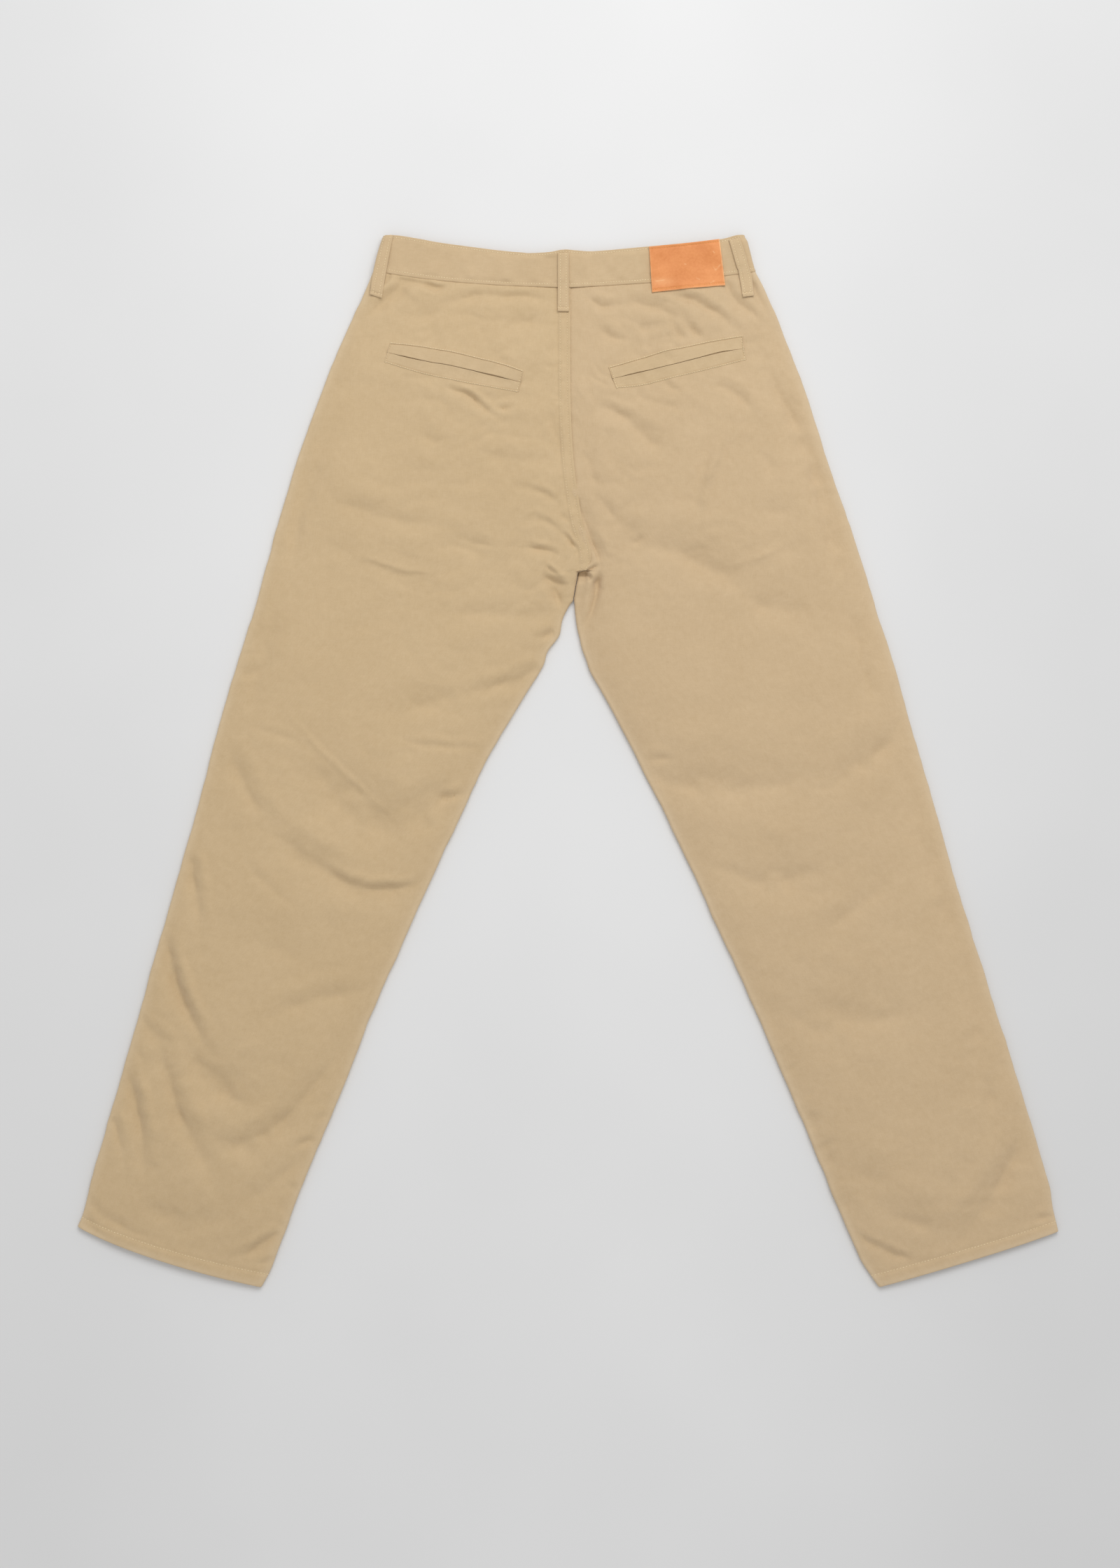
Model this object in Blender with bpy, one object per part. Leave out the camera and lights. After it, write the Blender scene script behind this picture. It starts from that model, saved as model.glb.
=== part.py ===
"""Chino trousers lying flat on their front, back side up, at real size.

Every cloth piece is a closed wall. One table of sections draws both legs, from the waistband seam to the hem: a
section is a chord from the side fold to the seat seam or, below the crotch, to the inside leg fold. A back panel lies
on top, rolls round the folds and ends a little way in on the underside, where the flat front panel carries on.
Tables and sizes are in millimetres, with +X to the right, +Y to the waist and +Z up; make_object() turns them into
metres.
"""
import math
from collections import namedtuple

import bpy
import numpy as np
from mathutils import Vector
from mathutils.bvhtree import BVHTree

MM = 0.001

# ---- driving dimensions, millimetres ----
CLOTH = 1.2  # wall of a panel
HEM_WALL = 2.2  # panel and its turned-in hem
HEM_STEPS = (0.46, 0.51, 1.0)  # steps from the last section to the hem edge; the hem is turned in from the second on
BAND_WALL = 1.8  # waistband, doubled and lined
SEAM_GAP = 0.3
MIDDLE_GAP = 0.22  # how far each half stops short of the line where the halves meet
FOLD_UNDER = 10.0  # how far a back panel runs in on the underside
SEAM_STRIP = 9.0  # strip beside the seat seam that turns under at the crotch
CROWN_REACH = 20.0  # how fast a leg rises from its folded edge
TOP_STEPS = 14  # cells across the top of a panel
CLOSER_AT_EDGES = 0.45  # 0 spaces the cells evenly
SEAM_LAP = 0.9  # the left panel's strip stands this much over the right one at the seat seam
SEAM_DIP = 1.0
SEAM_DIP_REACH = 25.0
BOW_SKEW = 0.8
LEAST_HEIGHT = 4.2  # top of the cloth over the surface, where a crease is deepest

BAND_LIFT = 1.5  # the loops and the button hold the waistband this far off the surface
BAND_HEIGHT = 6.0  # both walls of the waistband, one on the other
BAND_ROWS = 4
BAND_UNDER_STEPS = 6
BAND_TOP_STEPS = 12
BAND_OVER_SEAM = 0.35
CENTRE_BACK_X = -4.7
LIFT_HOLDS = 24.0  # the panels keep the band's lift this far below the band
LIFT_ENDS = 78.0

FRONT_STEPS = 5  # cells across a front panel, up to its fly edge
FLY_LAP = 6.0  # the left front laps past the middle at the waist
FLY_LENGTH = 170.0
FLY_RECESS = 1.0
FLY_RECESS_WIDTH = 12.0
POCKET_MOUTH = 34.0  # slanted side pocket: how far in it starts at the waist
POCKET_DROP = 155.0
POCKET_UNDERLAP = 6.0
LEAST_FACING = 8.0

WELT_THICK = 0.9
WELT_STEPS = 10
WELT_SLIT = 0.03  # half the slit, as a share of the pocket's height
LOOP_THICK = 1.4
LOOP_WIDTH = 11.5
SIDE_LOOP_WIDTH = 9.5  # what lies on the top of a loop that wraps the side fold
LOOP_STAND = 0.6  # a loop bows off the band so that a belt can pass
FRONT_LOOP_X = 88.0
FRONT_LOOP_DROP = 18.0
UNDER_TRIM = 1.2  # thickness of what lies under the band
PATCH_THICK = 1.8
BUTTON_RADIUS = 8.5
BUTTON_X = -4.0
BUTTON_SIDES = 28

# ---- sections, waist to hem: rows to the next one, edge height, crown above it, share of the turn under,
# bow of the left and right chords, and the four ends ----
Section = namedtuple("Section", "name rows edge crown turn left_bow right_bow left_out left_in right_in right_out")
SECTIONS = (
    Section("band seam", 2, 5.0, 0.2, 0, 5.0, 2.5, (-199.8, 503.3), (2.2, 485.3), (2.2, 485.3), (192.6, 501.8)),
    Section("under band", 3, 5.2, 2.6, 0, 4.0, 2.0, (-210.6, 477.4), (2.2, 461.5), (2.2, 461.5), (204.8, 477.4)),
    Section("pocket", 3, 5.6, 6.4, 0, 2.0, 1.0, (-237.2, 419.0), (2.2, 408.2), (2.2, 408.2), (229.3, 419.0)),
    Section("seat", 3, 6.0, 8.0, 0, 0, 0, (-258.5, 365.0), (2.9, 357.8), (2.9, 357.8), (248.4, 365.0)),
    Section("low seat", 3, 6.0, 8.0, 0, 0, 0, (-279.0, 307.4), (6.1, 303.8), (6.1, 303.8), (266.8, 307.4)),
    Section("rise", 2, 6.0, 7.6, 0, 0, 0, (-295.9, 249.8), (14.4, 246.2), (14.4, 246.2), (286.9, 249.8)),
    Section("low rise", 2, 6.0, 7.0, 0, 0, 0, (-306.4, 213.8), (23.4, 213.8), (23.4, 213.8), (298.4, 213.8)),
    Section("crotch", 2, 6.0, 6.6, 0, 0, 0, (-310.9, 198.0), (19.1, 195.8), (19.1, 195.8), (303.5, 198.0)),
    Section("between legs", 2, 6.0, 6.4, 0.5, 0, 0, (-315.4, 181.4), (9.4, 182.2), (9.4, 182.2), (308.5, 181.4)),
    Section("legs part", 2, 6.0, 6.4, 1, 0, 0, (-319.7, 165.6), (5.8, 167.0), (5.8, 167.0), (313.6, 165.6)),
    Section("thigh a", 1, 6.0, 6.6, 1, 0, 0, (-324.4, 148.3), (-4.7, 146.9), (7.9, 143.3), (319.3, 146.2)),
    Section("thigh b", 2, 6.0, 6.8, 1, 0, 0, (-330.1, 131.0), (-9.0, 128.2), (11.9, 122.4), (325.1, 129.6)),
    Section("thigh c", 2, 6.0, 7.0, 1, 0, 0, (-335.2, 113.8), (-19.8, 112.3), (16.9, 105.1), (330.1, 113.0)),
    Section("thigh d", 2, 6.0, 7.0, 1, 0, 0, (-340.2, 97.9), (-25.6, 95.0), (22.7, 88.6), (335.2, 97.2)),
    Section("thigh e", 4, 6.0, 7.0, 1, 0, 0, (-349.6, 69.1), (-45.7, 63.4), (41.4, 57.6), (343.1, 68.4)),
    Section("above knee", 5, 6.0, 7.0, 1, 0, 0, (-364.7, 13.7), (-80.3, 5.0), (71.6, -0.7), (358.9, 13.0)),
    Section("knee", 5, 6.0, 6.6, 1, 0, 0, (-385.6, -65.5), (-121.3, -81.4), (114.1, -86.4), (382.0, -67.0)),
    Section("under knee", 4, 6.0, 6.4, 1, 0, 0, (-407.9, -144.0), (-160.2, -167.8), (153.0, -172.1), (405.0, -146.2)),
    Section("calf", 4, 6.0, 6.2, 1, 0, 0, (-430.2, -221.8), (-198.4, -254.2), (191.9, -257.8), (429.5, -224.6)),
    Section("shin", 5, 6.0, 6.2, 1, 0, 0, (-451.8, -298.8), (-232.2, -340.6), (228.6, -342.7), (454.0, -302.4)),
    Section("low shin", 3, 6.0, 6.0, 1, 2.0, 0.5, (-474.1, -375.8), (-268.2, -427.0), (263.9, -428.4), (478.0, -380.2)),
    Section("ankle", 2, 6.0, 4.6, 1, 5.0, 1.0, (-489.2, -427.0), (-290.5, -484.6), (287.6, -486.0), (493.4, -432.0)),
    Section("hem turn", 3, 6.0, 3.0, 1, 7.0, 1.5, (-496.8, -460.8), (-302.8, -518.4), (302.8, -517.0), (499.0, -462.0)),
    Section("hem", 0, 6.0, 1.4, 1, 8.0, 2.0, (-503.6, -477.4), (-314.3, -540.07), (318.6, -540.06), (503.6, -482.4)),
)
CROTCH = 7  # the strip beside the seat seam narrows to the fold's radius at this section
LEGS_PART = 9  # the seat seam and the line where the legs touch end at this section

# ---- top edge of the waist, side fold to side fold ----
WAIST_EDGE = (
    (-188.3, 539.3), (-177.5, 539.4), (-145.1, 534.4), (-109.1, 529.0), (-80.3, 525.2), (-47.9, 522.4), (-8.3, 524.0),
    (13.3, 523.2), (42.1, 524.5), (82.4, 527.8), (155.2, 535.0), (172.0, 539.4), (181.1, 540.0),
)

# ---- the largest folds: a curve through three points, half width, depth (a crest is negative) and lean,
# which makes the side towards the waist the steeper one ----
Fold = namedtuple("Fold", "name leg x0 y0 xm ym x1 y1 half_width depth lean")
FOLDS = (
    Fold("knee crease", "left", -311, -78, -239, -119, -144, -124, 12, 4.5, 0.5),
    Fold("knee crease lead", "left", -352, 17, -336, -27, -302, -76, 11, 2.0, 0.3),
    Fold("knee hollow", "left", -282, 30, -228, -44, -181, -58, 16, 2.4, 0),
    Fold("knee hollow return", "left", -181, -58, -144, -32, -108, -2, 13, 2.2, 0),
    Fold("outer shin nick", "left", -394, -96, -385, -132, -386, -175, 10, 2.2, 0),
    Fold("outer shin crease", "left", -415, -172, -400, -229, -368, -296, 10, 4.2, 0.5),
    Fold("shin hollow", "left", -368, -296, -343, -326, -303, -330, 18, 2.4, 0),
    Fold("shin diagonal", "left", -413, -308, -402, -362, -380, -398, 11, 3.2, 0.3),
    Fold("shin diagonal end", "left", -380, -398, -368, -423, -354, -434, 14, 1.5, 0),
    Fold("ankle outer crease", "left", -458, -320, -441, -362, -442, -434, 10, 3.4, 0.4),
    Fold("shin smile", "left", -365, -378, -300, -372, -234, -303, 14, 3.6, 0.3),
    Fold("hem inner crease", "left", -347, -510, -321, -501, -291, -480, 8, 2.2, 0),
    Fold("ankle hollow", "left", -442, -434, -415, -469, -347, -469, 13, 1.8, 0),
    Fold("inner thigh crease", "left", -26, 97, -66, 83, -123, 68, 11, 4.0, 0.4),
    Fold("inner thigh crease end", "left", -123, 68, -152, 58, -192, 57, 14, 1.5, 0),
    Fold("inner thigh dent", "left", -39, 128, -23, 133, -10, 139, 9, 2.0, 0),
    Fold("crotch pucker", "left", -26, 187, -13, 181, 0, 178, 9, 3.0, 0),
    Fold("crotch pucker above", "left", -51, 224, -28, 221, -7, 214, 8, 2.0, 0),
    Fold("seat soft crease", "left", -240, 269, -192, 250, -123, 241, 12, 1.8, 0.2),
    Fold("seat curved crease", "left", -240, 222, -195, 202, -138, 186, 10, 1.6, 0.3),
    Fold("hip diagonal", "left", -165, 492, -187, 472, -211, 450, 9, 1.6, 0),
    Fold("below pocket crease", "left", -132, 387, -108, 380, -70, 354, 9, 1.6, 0),
    Fold("outer seam hollow", "left", -257, 322, -279, 257, -299, 174, 11, 1.2, 0),
    Fold("knee valley inner", "right", 81, 1, 161, -18, 251, -9, 13, 3.0, 0.3),
    Fold("knee valley outer", "right", 242, -10, 291, 6, 338, 45, 12, 2.8, 0.3),
    Fold("lower knee valley", "right", 141, -104, 211, -120, 285, -84, 14, 2.0, 0.2),
    Fold("shin soft diagonal", "right", 255, -189, 294, -153, 325, -114, 13, 1.7, 0),
    Fold("crotch step upper", "right", 16, 262, 27, 238, 38, 201, 8, 1.8, 0),
    Fold("crotch step lower", "right", 40, 199, 33, 166, 22, 137, 8, 2.2, 0),
    Fold("patch diagonal", "right", 170, 480, 186, 462, 211, 444, 9, 1.5, 0),
    Fold("seat diagonal upper", "right", 25, 372, 58, 357, 93, 327, 9, 1.5, 0),
    Fold("outer seam hollow high", "right", 201, 418, 237, 351, 259, 277, 12, 1.7, 0),
    Fold("outer seam hollow low", "right", 259, 277, 273, 232, 286, 174, 10, 1.3, 0),
    Fold("seat long diagonal", "right", 87, 231, 136, 208, 192, 171, 15, 2.0, 0.2),
    Fold("hem inner crease", "right", 288, -482, 309, -492, 346, -513, 8, 2.4, 0),
    Fold("ankle outer diagonal", "right", 468, -378, 447, -421, 413, -482, 12, 2.0, 0.2),
    Fold("ankle inner diagonal", "right", 321, -457, 355, -469, 391, -482, 12, 1.5, 0),
    Fold("shin broad hollow", "right", 215, -248, 280, -256, 368, -251, 15, 1.2, 0),
)
FOLD_STEPS = 10
FOLD_END_FADE = 0.22  # share of a fold over which its ends die away
SHOULDER = 0.25  # height of the swelling beside a crease, as a share of its depth
SHOULDER_AT = 2.1  # where that swelling is, in half widths

# ---- trim: corners run top left, top right, bottom right, bottom left ----
WELT_CORNERS = {
    "left": ((-180.4, 428.4), (-47.9, 398.9), (-50.8, 379.4), (-186.8, 408.2)),
    "right": ((43.6, 401.8), (176.8, 433.4), (179.6, 411.8), (50.8, 383.0)),
}
PATCH_CORNERS = ((82.4, 527.2), (155.2, 534.2), (161.6, 486.7), (86.0, 480.2))
Loop = namedtuple("Loop", "name top_x top_y bottom_x bottom_y width")
LOOPS = (
    Loop("loop_back_centre", -4.7, 523.6, -4.7, 460.1, LOOP_WIDTH),
    Loop("loop_back_left", -181.5, 538.4, -195.2, 476.2, SIDE_LOOP_WIDTH),
    Loop("loop_back_right", 170.0, 537.6, 185.2, 475.2, LOOP_WIDTH),
)

# ---- colours (linear) ----
TWILL = (0.57, 0.43, 0.25)
WELT_TWILL = (0.55, 0.42, 0.24)
LEATHER = (0.80, 0.33, 0.11)
HORN = (0.20, 0.12, 0.06)


def through(points, counts, last_steps=None):
    """Points along a smooth curve through the given ones, with counts[i] steps in stretch i."""
    points = np.array(points, float).reshape(len(points), -1)
    knots = np.vstack([2 * points[0] - points[1], points, 2 * points[-1] - points[-2]])
    path = [points[0]]
    for i, count in enumerate(counts):
        before, start, end, after = knots[i : i + 4]
        steps = [(k + 1) / count for k in range(count)]
        if last_steps and i == len(counts) - 1:
            steps = last_steps
        for t in steps:
            cubic = 3 * start - before - 3 * end + after
            square = 2 * before - 5 * start + 4 * end - after
            path.append(start + 0.5 * ((end - before) * t + square * t**2 + cubic * t**3))
    return np.array(path)


def smooth_step(value):
    """0 below 0, 1 above 1, and an even rise between."""
    value = np.clip(value, 0.0, 1.0)
    return value * value * (3 - 2 * value)


def fold_depth(x, y, leg):
    """How far the folds of one leg lower the cloth at each point."""
    depth = np.zeros_like(x)
    for fold in (f for f in FOLDS if f.leg == leg):
        start, middle, end = np.array([(fold.x0, fold.y0), (fold.xm, fold.ym), (fold.x1, fold.y1)], float)
        pull = 2 * middle - 0.5 * (start + end)
        steps = np.linspace(0, 1, FOLD_STEPS + 1)[:, None]
        curve = (1 - steps) ** 2 * start + 2 * steps * (1 - steps) * pull + steps**2 * end
        nearest = np.full_like(x, np.inf)
        along = np.zeros_like(x)
        beside = np.zeros_like(x)
        for k in range(FOLD_STEPS):
            run = curve[k + 1] - curve[k]
            t = ((x - curve[k][0]) * run[0] + (y - curve[k][1]) * run[1]) / (run @ run)
            t = np.clip(t, 0, 1)
            dx = x - curve[k][0] - t * run[0]
            dy = y - curve[k][1] - t * run[1]
            away = np.hypot(dx, dy)
            closer = away < nearest
            nearest = np.where(closer, away, nearest)
            along = np.where(closer, (k + t) / FOLD_STEPS, along)
            beside = np.where(closer, np.sign(dy), beside)
        width = fold.half_width * (1 - 0.5 * fold.lean * beside)
        q = nearest / width
        fade = smooth_step(along / FOLD_END_FADE) * smooth_step((1 - along) / FOLD_END_FADE)
        ends = 0.35 + 0.65 * fade
        profile = np.exp(-(q**2)) - SHOULDER * np.exp(-((q - SHOULDER_AT) ** 2))
        depth += fold.depth * ends * profile
    return depth


def leg_rows(leg):
    """Ends, edge height, crown, turn and bow of every row of one leg, and its distance down the side fold."""
    counts = [section.rows for section in SECTIONS[:-1]]
    seam_counts = counts[:LEGS_PART]
    outer_points = [getattr(section, leg + "_out") for section in SECTIONS]
    inner_points = [getattr(section, leg + "_in") for section in SECTIONS]
    outer = through(outer_points, counts, HEM_STEPS)
    seam = through(inner_points[: LEGS_PART + 1], seam_counts)
    fold = through(inner_points[LEGS_PART:], counts[LEGS_PART:], HEM_STEPS)
    inner = np.vstack([seam, fold[1:]])
    numbers = [(s.edge, s.crown, s.turn, getattr(s, leg + "_bow")) for s in SECTIONS]
    station = through([(k,) for k in range(len(SECTIONS))], counts, HEM_STEPS)[:, 0]
    rows = []
    for i in range(len(outer)):
        edge, crown, turn, bow = (np.interp(station[i], range(len(numbers)), column) for column in zip(*numbers))
        below_band = np.hypot(*(outer[i] - outer[0]))
        lift = BAND_LIFT * (1 - smooth_step((below_band - LIFT_HOLDS) / (LIFT_ENDS - LIFT_HOLDS)))
        wall = HEM_WALL if i >= len(outer) - 2 else CLOTH
        seamed = np.clip(CROTCH - station[i], 0, 1)
        width = np.hypot(*(inner[i] - outer[i])) - MIDDLE_GAP
        end = outer[i] + (inner[i] - outer[i]) * width / (width + MIDDLE_GAP)
        rows.append(dict(outer=outer[i], inner=end, width=width, edge=edge, crown=crown, turn=turn, bow=bow,
                         seamed=seamed, below_band=below_band, lift=lift, wall=wall))
    return rows


def plan(row, distance):
    """Point on a row's chord, seen from above, at a distance from its outer end."""
    share = distance / row["width"]
    skewed = np.clip(share, 0, 1) ** BOW_SKEW
    sag = row["bow"] * 4 * skewed * (1 - skewed)
    return row["outer"] + (row["inner"] - row["outer"]) * share - np.array([0.0, sag])


def rolled_edge(radius):
    """Half section of a fold from the top round to the underside, as (distance in from the edge, height)."""
    return [(radius, 2 * radius), (0.0, 1.5 * radius), (0.0, 0.5 * radius), (radius, 0.0), (radius + FOLD_UNDER, 0.0)]


def turned_edge(radius, turn, top):
    """The last four points of a panel that has turned under by a share, as (distance in from the edge, height)."""
    corners = np.array(rolled_edge(radius))
    lengths = np.concatenate([[0], np.cumsum(np.linalg.norm(np.diff(corners, axis=0), axis=1))])
    reach = lengths[1] + turn * (lengths[-1] - lengths[1])
    spots = lengths[1:] if turn == 1 else reach * np.array([0.25, 0.5, 0.75, 1.0])
    scale = top / (2 * radius)
    return [(np.interp(t, lengths, corners[:, 0]), np.interp(t, lengths, corners[:, 1]) * scale) for t in spots]


def turned_under(row):
    """How far in from the edge a turned panel ends, seen from below."""
    radius = row["edge"] / 2
    straight = FOLD_UNDER + 2 * 1.118 * radius + radius
    reach = 1.118 * radius + row["turn"] * (straight - 1.118 * radius)
    return radius + max(0, reach - (straight - FOLD_UNDER))


def inset(profile, wall):
    """The inner side of a wall whose outer side is the profile, which runs over the top from left to right."""
    profile = np.array(profile)
    steps = np.diff(profile, axis=0)
    steps /= np.linalg.norm(steps, axis=1)[:, None]
    normals = np.column_stack([steps[:, 1], -steps[:, 0]])
    before = np.vstack([normals[:1], normals])
    after = np.vstack([normals, normals[-1:]])
    middle = before + after
    middle /= np.linalg.norm(middle, axis=1)[:, None]
    spread = np.maximum((middle * before).sum(axis=1), 0.8)
    return profile + middle * (wall / spread)[:, None]


def back_panel(leg):
    """Outer and inner points of a back panel, row by row."""
    outer_rows = []
    inner_rows = []
    lap = SEAM_LAP if leg == "left" else 0.0
    for row in leg_rows(leg):
        width = row["width"]
        radius = row["edge"] / 2
        turn = row["turn"]
        strip = radius + (SEAM_STRIP - radius) * row["seamed"]
        share = np.linspace(0, 1, TOP_STEPS)
        share -= CLOSER_AT_EDGES * np.sin(2 * math.pi * share) / (2 * math.pi)
        top = [*(radius + (width - strip - 1 - radius) * share), width - strip]
        flat = np.linspace(top[-1], width, 5)[1:]
        distances = np.concatenate([top, flat])
        spots = np.array([plan(row, distance) for distance in distances])
        from_edge = np.maximum(distances - radius, 0)
        to_fold = np.maximum(width - radius - distances, 0)
        rise = 1 - np.exp(-from_edge / CROWN_REACH)
        rise = rise * (1 - turn * np.exp(-to_fold / CROWN_REACH))
        to_seam = width - distances
        seam = (1 - turn) * SEAM_DIP * np.exp(-((to_seam / SEAM_DIP_REACH) ** 2))
        ridge = np.where(to_seam < strip + 0.01, lap * row["seamed"], 0)
        edge_fade = smooth_step(from_edge / 12) * (1 - turn * (1 - smooth_step(to_fold / 12)))
        folds = fold_depth(spots[:, 0], spots[:, 1], leg) * (0.25 + 0.75 * edge_fade) * min(1, row["crown"] / 4)
        height = row["edge"] + row["crown"] * rise - seam - folds
        height = np.maximum(height, LEAST_HEIGHT) + ridge
        height[0] = row["edge"]
        if turn == 1:
            height[TOP_STEPS] = row["edge"]
        profile = [(distance, z) for distance, z in reversed(rolled_edge(radius))][:-1]
        profile += list(zip(top, height[: TOP_STEPS + 1]))
        if turn:
            profile += [(width - d, z) for d, z in turned_edge(radius, turn, height[TOP_STEPS])]
        else:
            profile += list(zip(flat, height[TOP_STEPS + 1 :]))
        inside = inset(profile, row["wall"])
        outer_rows.append([(*plan(row, d), z + row["lift"]) for d, z in profile])
        inner_rows.append([(*plan(row, d), z + row["lift"]) for d, z in inside])
    return np.array(outer_rows), np.array(inner_rows)


def slant(row):
    """How far in from the side seam the slanted pocket cuts the front panel on a row."""
    return POCKET_MOUTH * (1 - row["below_band"] / POCKET_DROP)


def front_panel(leg):
    """Outer (lower) and inner (upper) points of a flat front panel, row by row."""
    lower = []
    upper = []
    rows = leg_rows(leg)
    for row in rows:
        width = row["width"]
        start = row["edge"] / 2 + FOLD_UNDER + SEAM_GAP
        if slant(row) >= LEAST_FACING:
            start += slant(row)
        reach = FLY_LAP * max(0, 1 - row["below_band"] / FLY_LENGTH)
        if row["turn"] > 0:
            end = width - turned_under(row) - SEAM_GAP
        else:
            end = width + (reach if leg == "left" else -reach)
        deep = FLY_RECESS if leg == "right" and reach > 0 else 0.0
        distances = [*np.linspace(start, end - FLY_RECESS_WIDTH - 2, FRONT_STEPS + 1), end - FLY_RECESS_WIDTH, end]
        heights = [0] * (FRONT_STEPS + 1) + [deep, deep]
        lower.append([(*plan(row, d), z + row["lift"]) for d, z in zip(distances, heights)])
        upper.append([(*plan(row, d), z + row["lift"] + row["wall"]) for d, z in zip(distances, heights)])
    return np.array(lower), np.array(upper)


def facing(leg):
    """The facing that shows in a slanted side pocket, level with the side seam and under the pocket's edge."""
    lower = []
    upper = []
    behind = CLOTH + SEAM_GAP
    for row in (r for r in leg_rows(leg) if slant(r) >= LEAST_FACING):
        start = row["edge"] / 2 + FOLD_UNDER + SEAM_GAP
        mouth = start + slant(row)
        distances = [start, mouth - 2, mouth + POCKET_UNDERLAP]
        heights = [0, behind, behind]
        lower.append([(*plan(row, d), z + row["lift"]) for d, z in zip(distances, heights)])
        upper.append([(*plan(row, d), z + row["lift"] + CLOTH) for d, z in zip(distances, heights)])
    return np.array(lower), np.array(upper)


def band_seam_line():
    """The top edge of both back panels from side to side, as x and y arrays."""
    points = []
    for leg in ("left", "right"):
        row = leg_rows(leg)[0]
        spots = [plan(row, distance) for distance in np.linspace(0, row["width"], 40)]
        points += spots if leg == "left" else spots[::-1]
    points = np.array(points)
    return points[:, 0], points[:, 1]


def waistband(leg):
    """Half of the waistband: along the underside from the fly, round the side fold, and back to the centre back."""
    seam_x, seam_y = band_seam_line()
    edge = through(WAIST_EDGE, [6] * (len(WAIST_EDGE) - 1))
    side = 1 if leg == "left" else -1
    top_corner = np.array(WAIST_EDGE[0 if leg == "left" else -1])
    low_corner = leg_rows(leg)[0]["outer"]
    radius = BAND_HEIGHT / 2
    fly = 2.2 + FLY_LAP + (-SEAM_GAP if leg == "left" else SEAM_GAP) / 2
    back = CENTRE_BACK_X - side * SEAM_GAP / 2
    outer_rows = []
    inner_rows = []
    for k in range(BAND_ROWS + 1):
        share = k / BAND_ROWS
        corner_x = top_corner[0] + (low_corner[0] - top_corner[0]) * share
        fly_reach = abs(fly - corner_x)
        back_reach = abs(back - corner_x)
        under = [(d, 0.0) for d in np.linspace(fly_reach, radius, BAND_UNDER_STEPS + 1)]
        over = [(d, BAND_HEIGHT) for d in np.linspace(radius, back_reach, BAND_TOP_STEPS + 1)]
        profile = under + [(0.0, 0.5 * radius), (0.0, 1.5 * radius)] + over
        inside = inset(profile, BAND_WALL)
        for points, rows in ((profile, outer_rows), (inside, inner_rows)):
            line = []
            for d, z in points:
                x = corner_x + side * d
                reach = (x - corner_x) * side
                x_top = top_corner[0] + side * reach
                x_low = low_corner[0] + side * reach
                y_top = np.interp(x_top, edge[:, 0], edge[:, 1])
                y_low = np.interp(x_low, seam_x, seam_y) + BAND_OVER_SEAM
                line.append((x, y_top + (y_low - y_top) * share, z + BAND_LIFT))
            rows.append(line)
    return np.array(outer_rows), np.array(inner_rows)


def wall_mesh(outer, inner):
    """A closed wall between two grids of points, as triangles that face out."""
    rows, columns = outer.shape[:2]
    points = np.vstack([outer.reshape(-1, 3), inner.reshape(-1, 3)])
    half = rows * columns

    def quad(a, b, c, d):
        return [(a, b, c), (a, c, d)]

    faces = []
    for i in range(rows - 1):
        for j in range(columns - 1):
            a, b = i * columns + j, i * columns + j + 1
            c, d = b + columns, a + columns
            faces += quad(a, b, c, d)
            faces += quad(a + half, d + half, c + half, b + half)
    for i in range(rows - 1):
        for j, flip in ((0, True), (columns - 1, False)):
            a, d = i * columns + j, (i + 1) * columns + j
            ring = (a, a + half, d + half, d) if flip else (a, d, d + half, a + half)
            faces += quad(*ring[::-1])
    for j in range(columns - 1):
        for i, flip in ((0, False), (rows - 1, True)):
            a, b = i * columns + j, i * columns + j + 1
            ring = (a, a + half, b + half, b) if flip else (a, b, b + half, a + half)
            faces += quad(*ring[::-1])
    corners = points[np.array(faces)]
    volume = np.einsum("ij,ij->i", corners[:, 0], np.cross(corners[:, 1], corners[:, 2])).sum()
    if volume < 0:
        faces = [face[::-1] for face in faces]
    return points, faces


def make_object(name, points, faces, colour, roughness):
    """One object with its own material."""
    mesh = bpy.data.meshes.new(name)
    mesh.from_pydata((np.array(points) * MM).tolist(), [], [tuple(int(v) for v in face) for face in faces])
    mesh.shade_smooth()
    mesh.set_sharp_from_angle(angle=math.radians(40))
    material = bpy.data.materials.new(name + "_finish")
    material.use_nodes = True
    shader = material.node_tree.nodes["Principled BSDF"]
    shader.inputs["Base Color"].default_value = (*colour, 1.0)
    shader.inputs["Roughness"].default_value = roughness
    shader.inputs["Metallic"].default_value = 0.0
    mesh.materials.append(material)
    item = bpy.data.objects.new(name, mesh)
    bpy.context.scene.collection.objects.link(item)
    return item


def tree_of(solids):
    """A tree that finds the topmost surface of several solids."""
    points = []
    faces = []
    for solid_points, solid_faces in solids:
        shift = len(points)
        points += [tuple(point) for point in solid_points]
        faces += [tuple(int(v) + shift for v in face) for face in solid_faces]
    return BVHTree.FromPolygons(points, faces)


def highest(tree, x, y, reach):
    """Height of the surface around a point, taken at its highest within reach."""
    heights = []
    for dx in (-reach, 0, reach):
        for dy in (-reach, 0, reach):
            hit = tree.ray_cast(Vector((x + dx, y + dy, 100.0)), Vector((0, 0, -1)))[0]
            if hit is not None:
                heights.append(hit.z)
    return max(heights)


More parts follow.
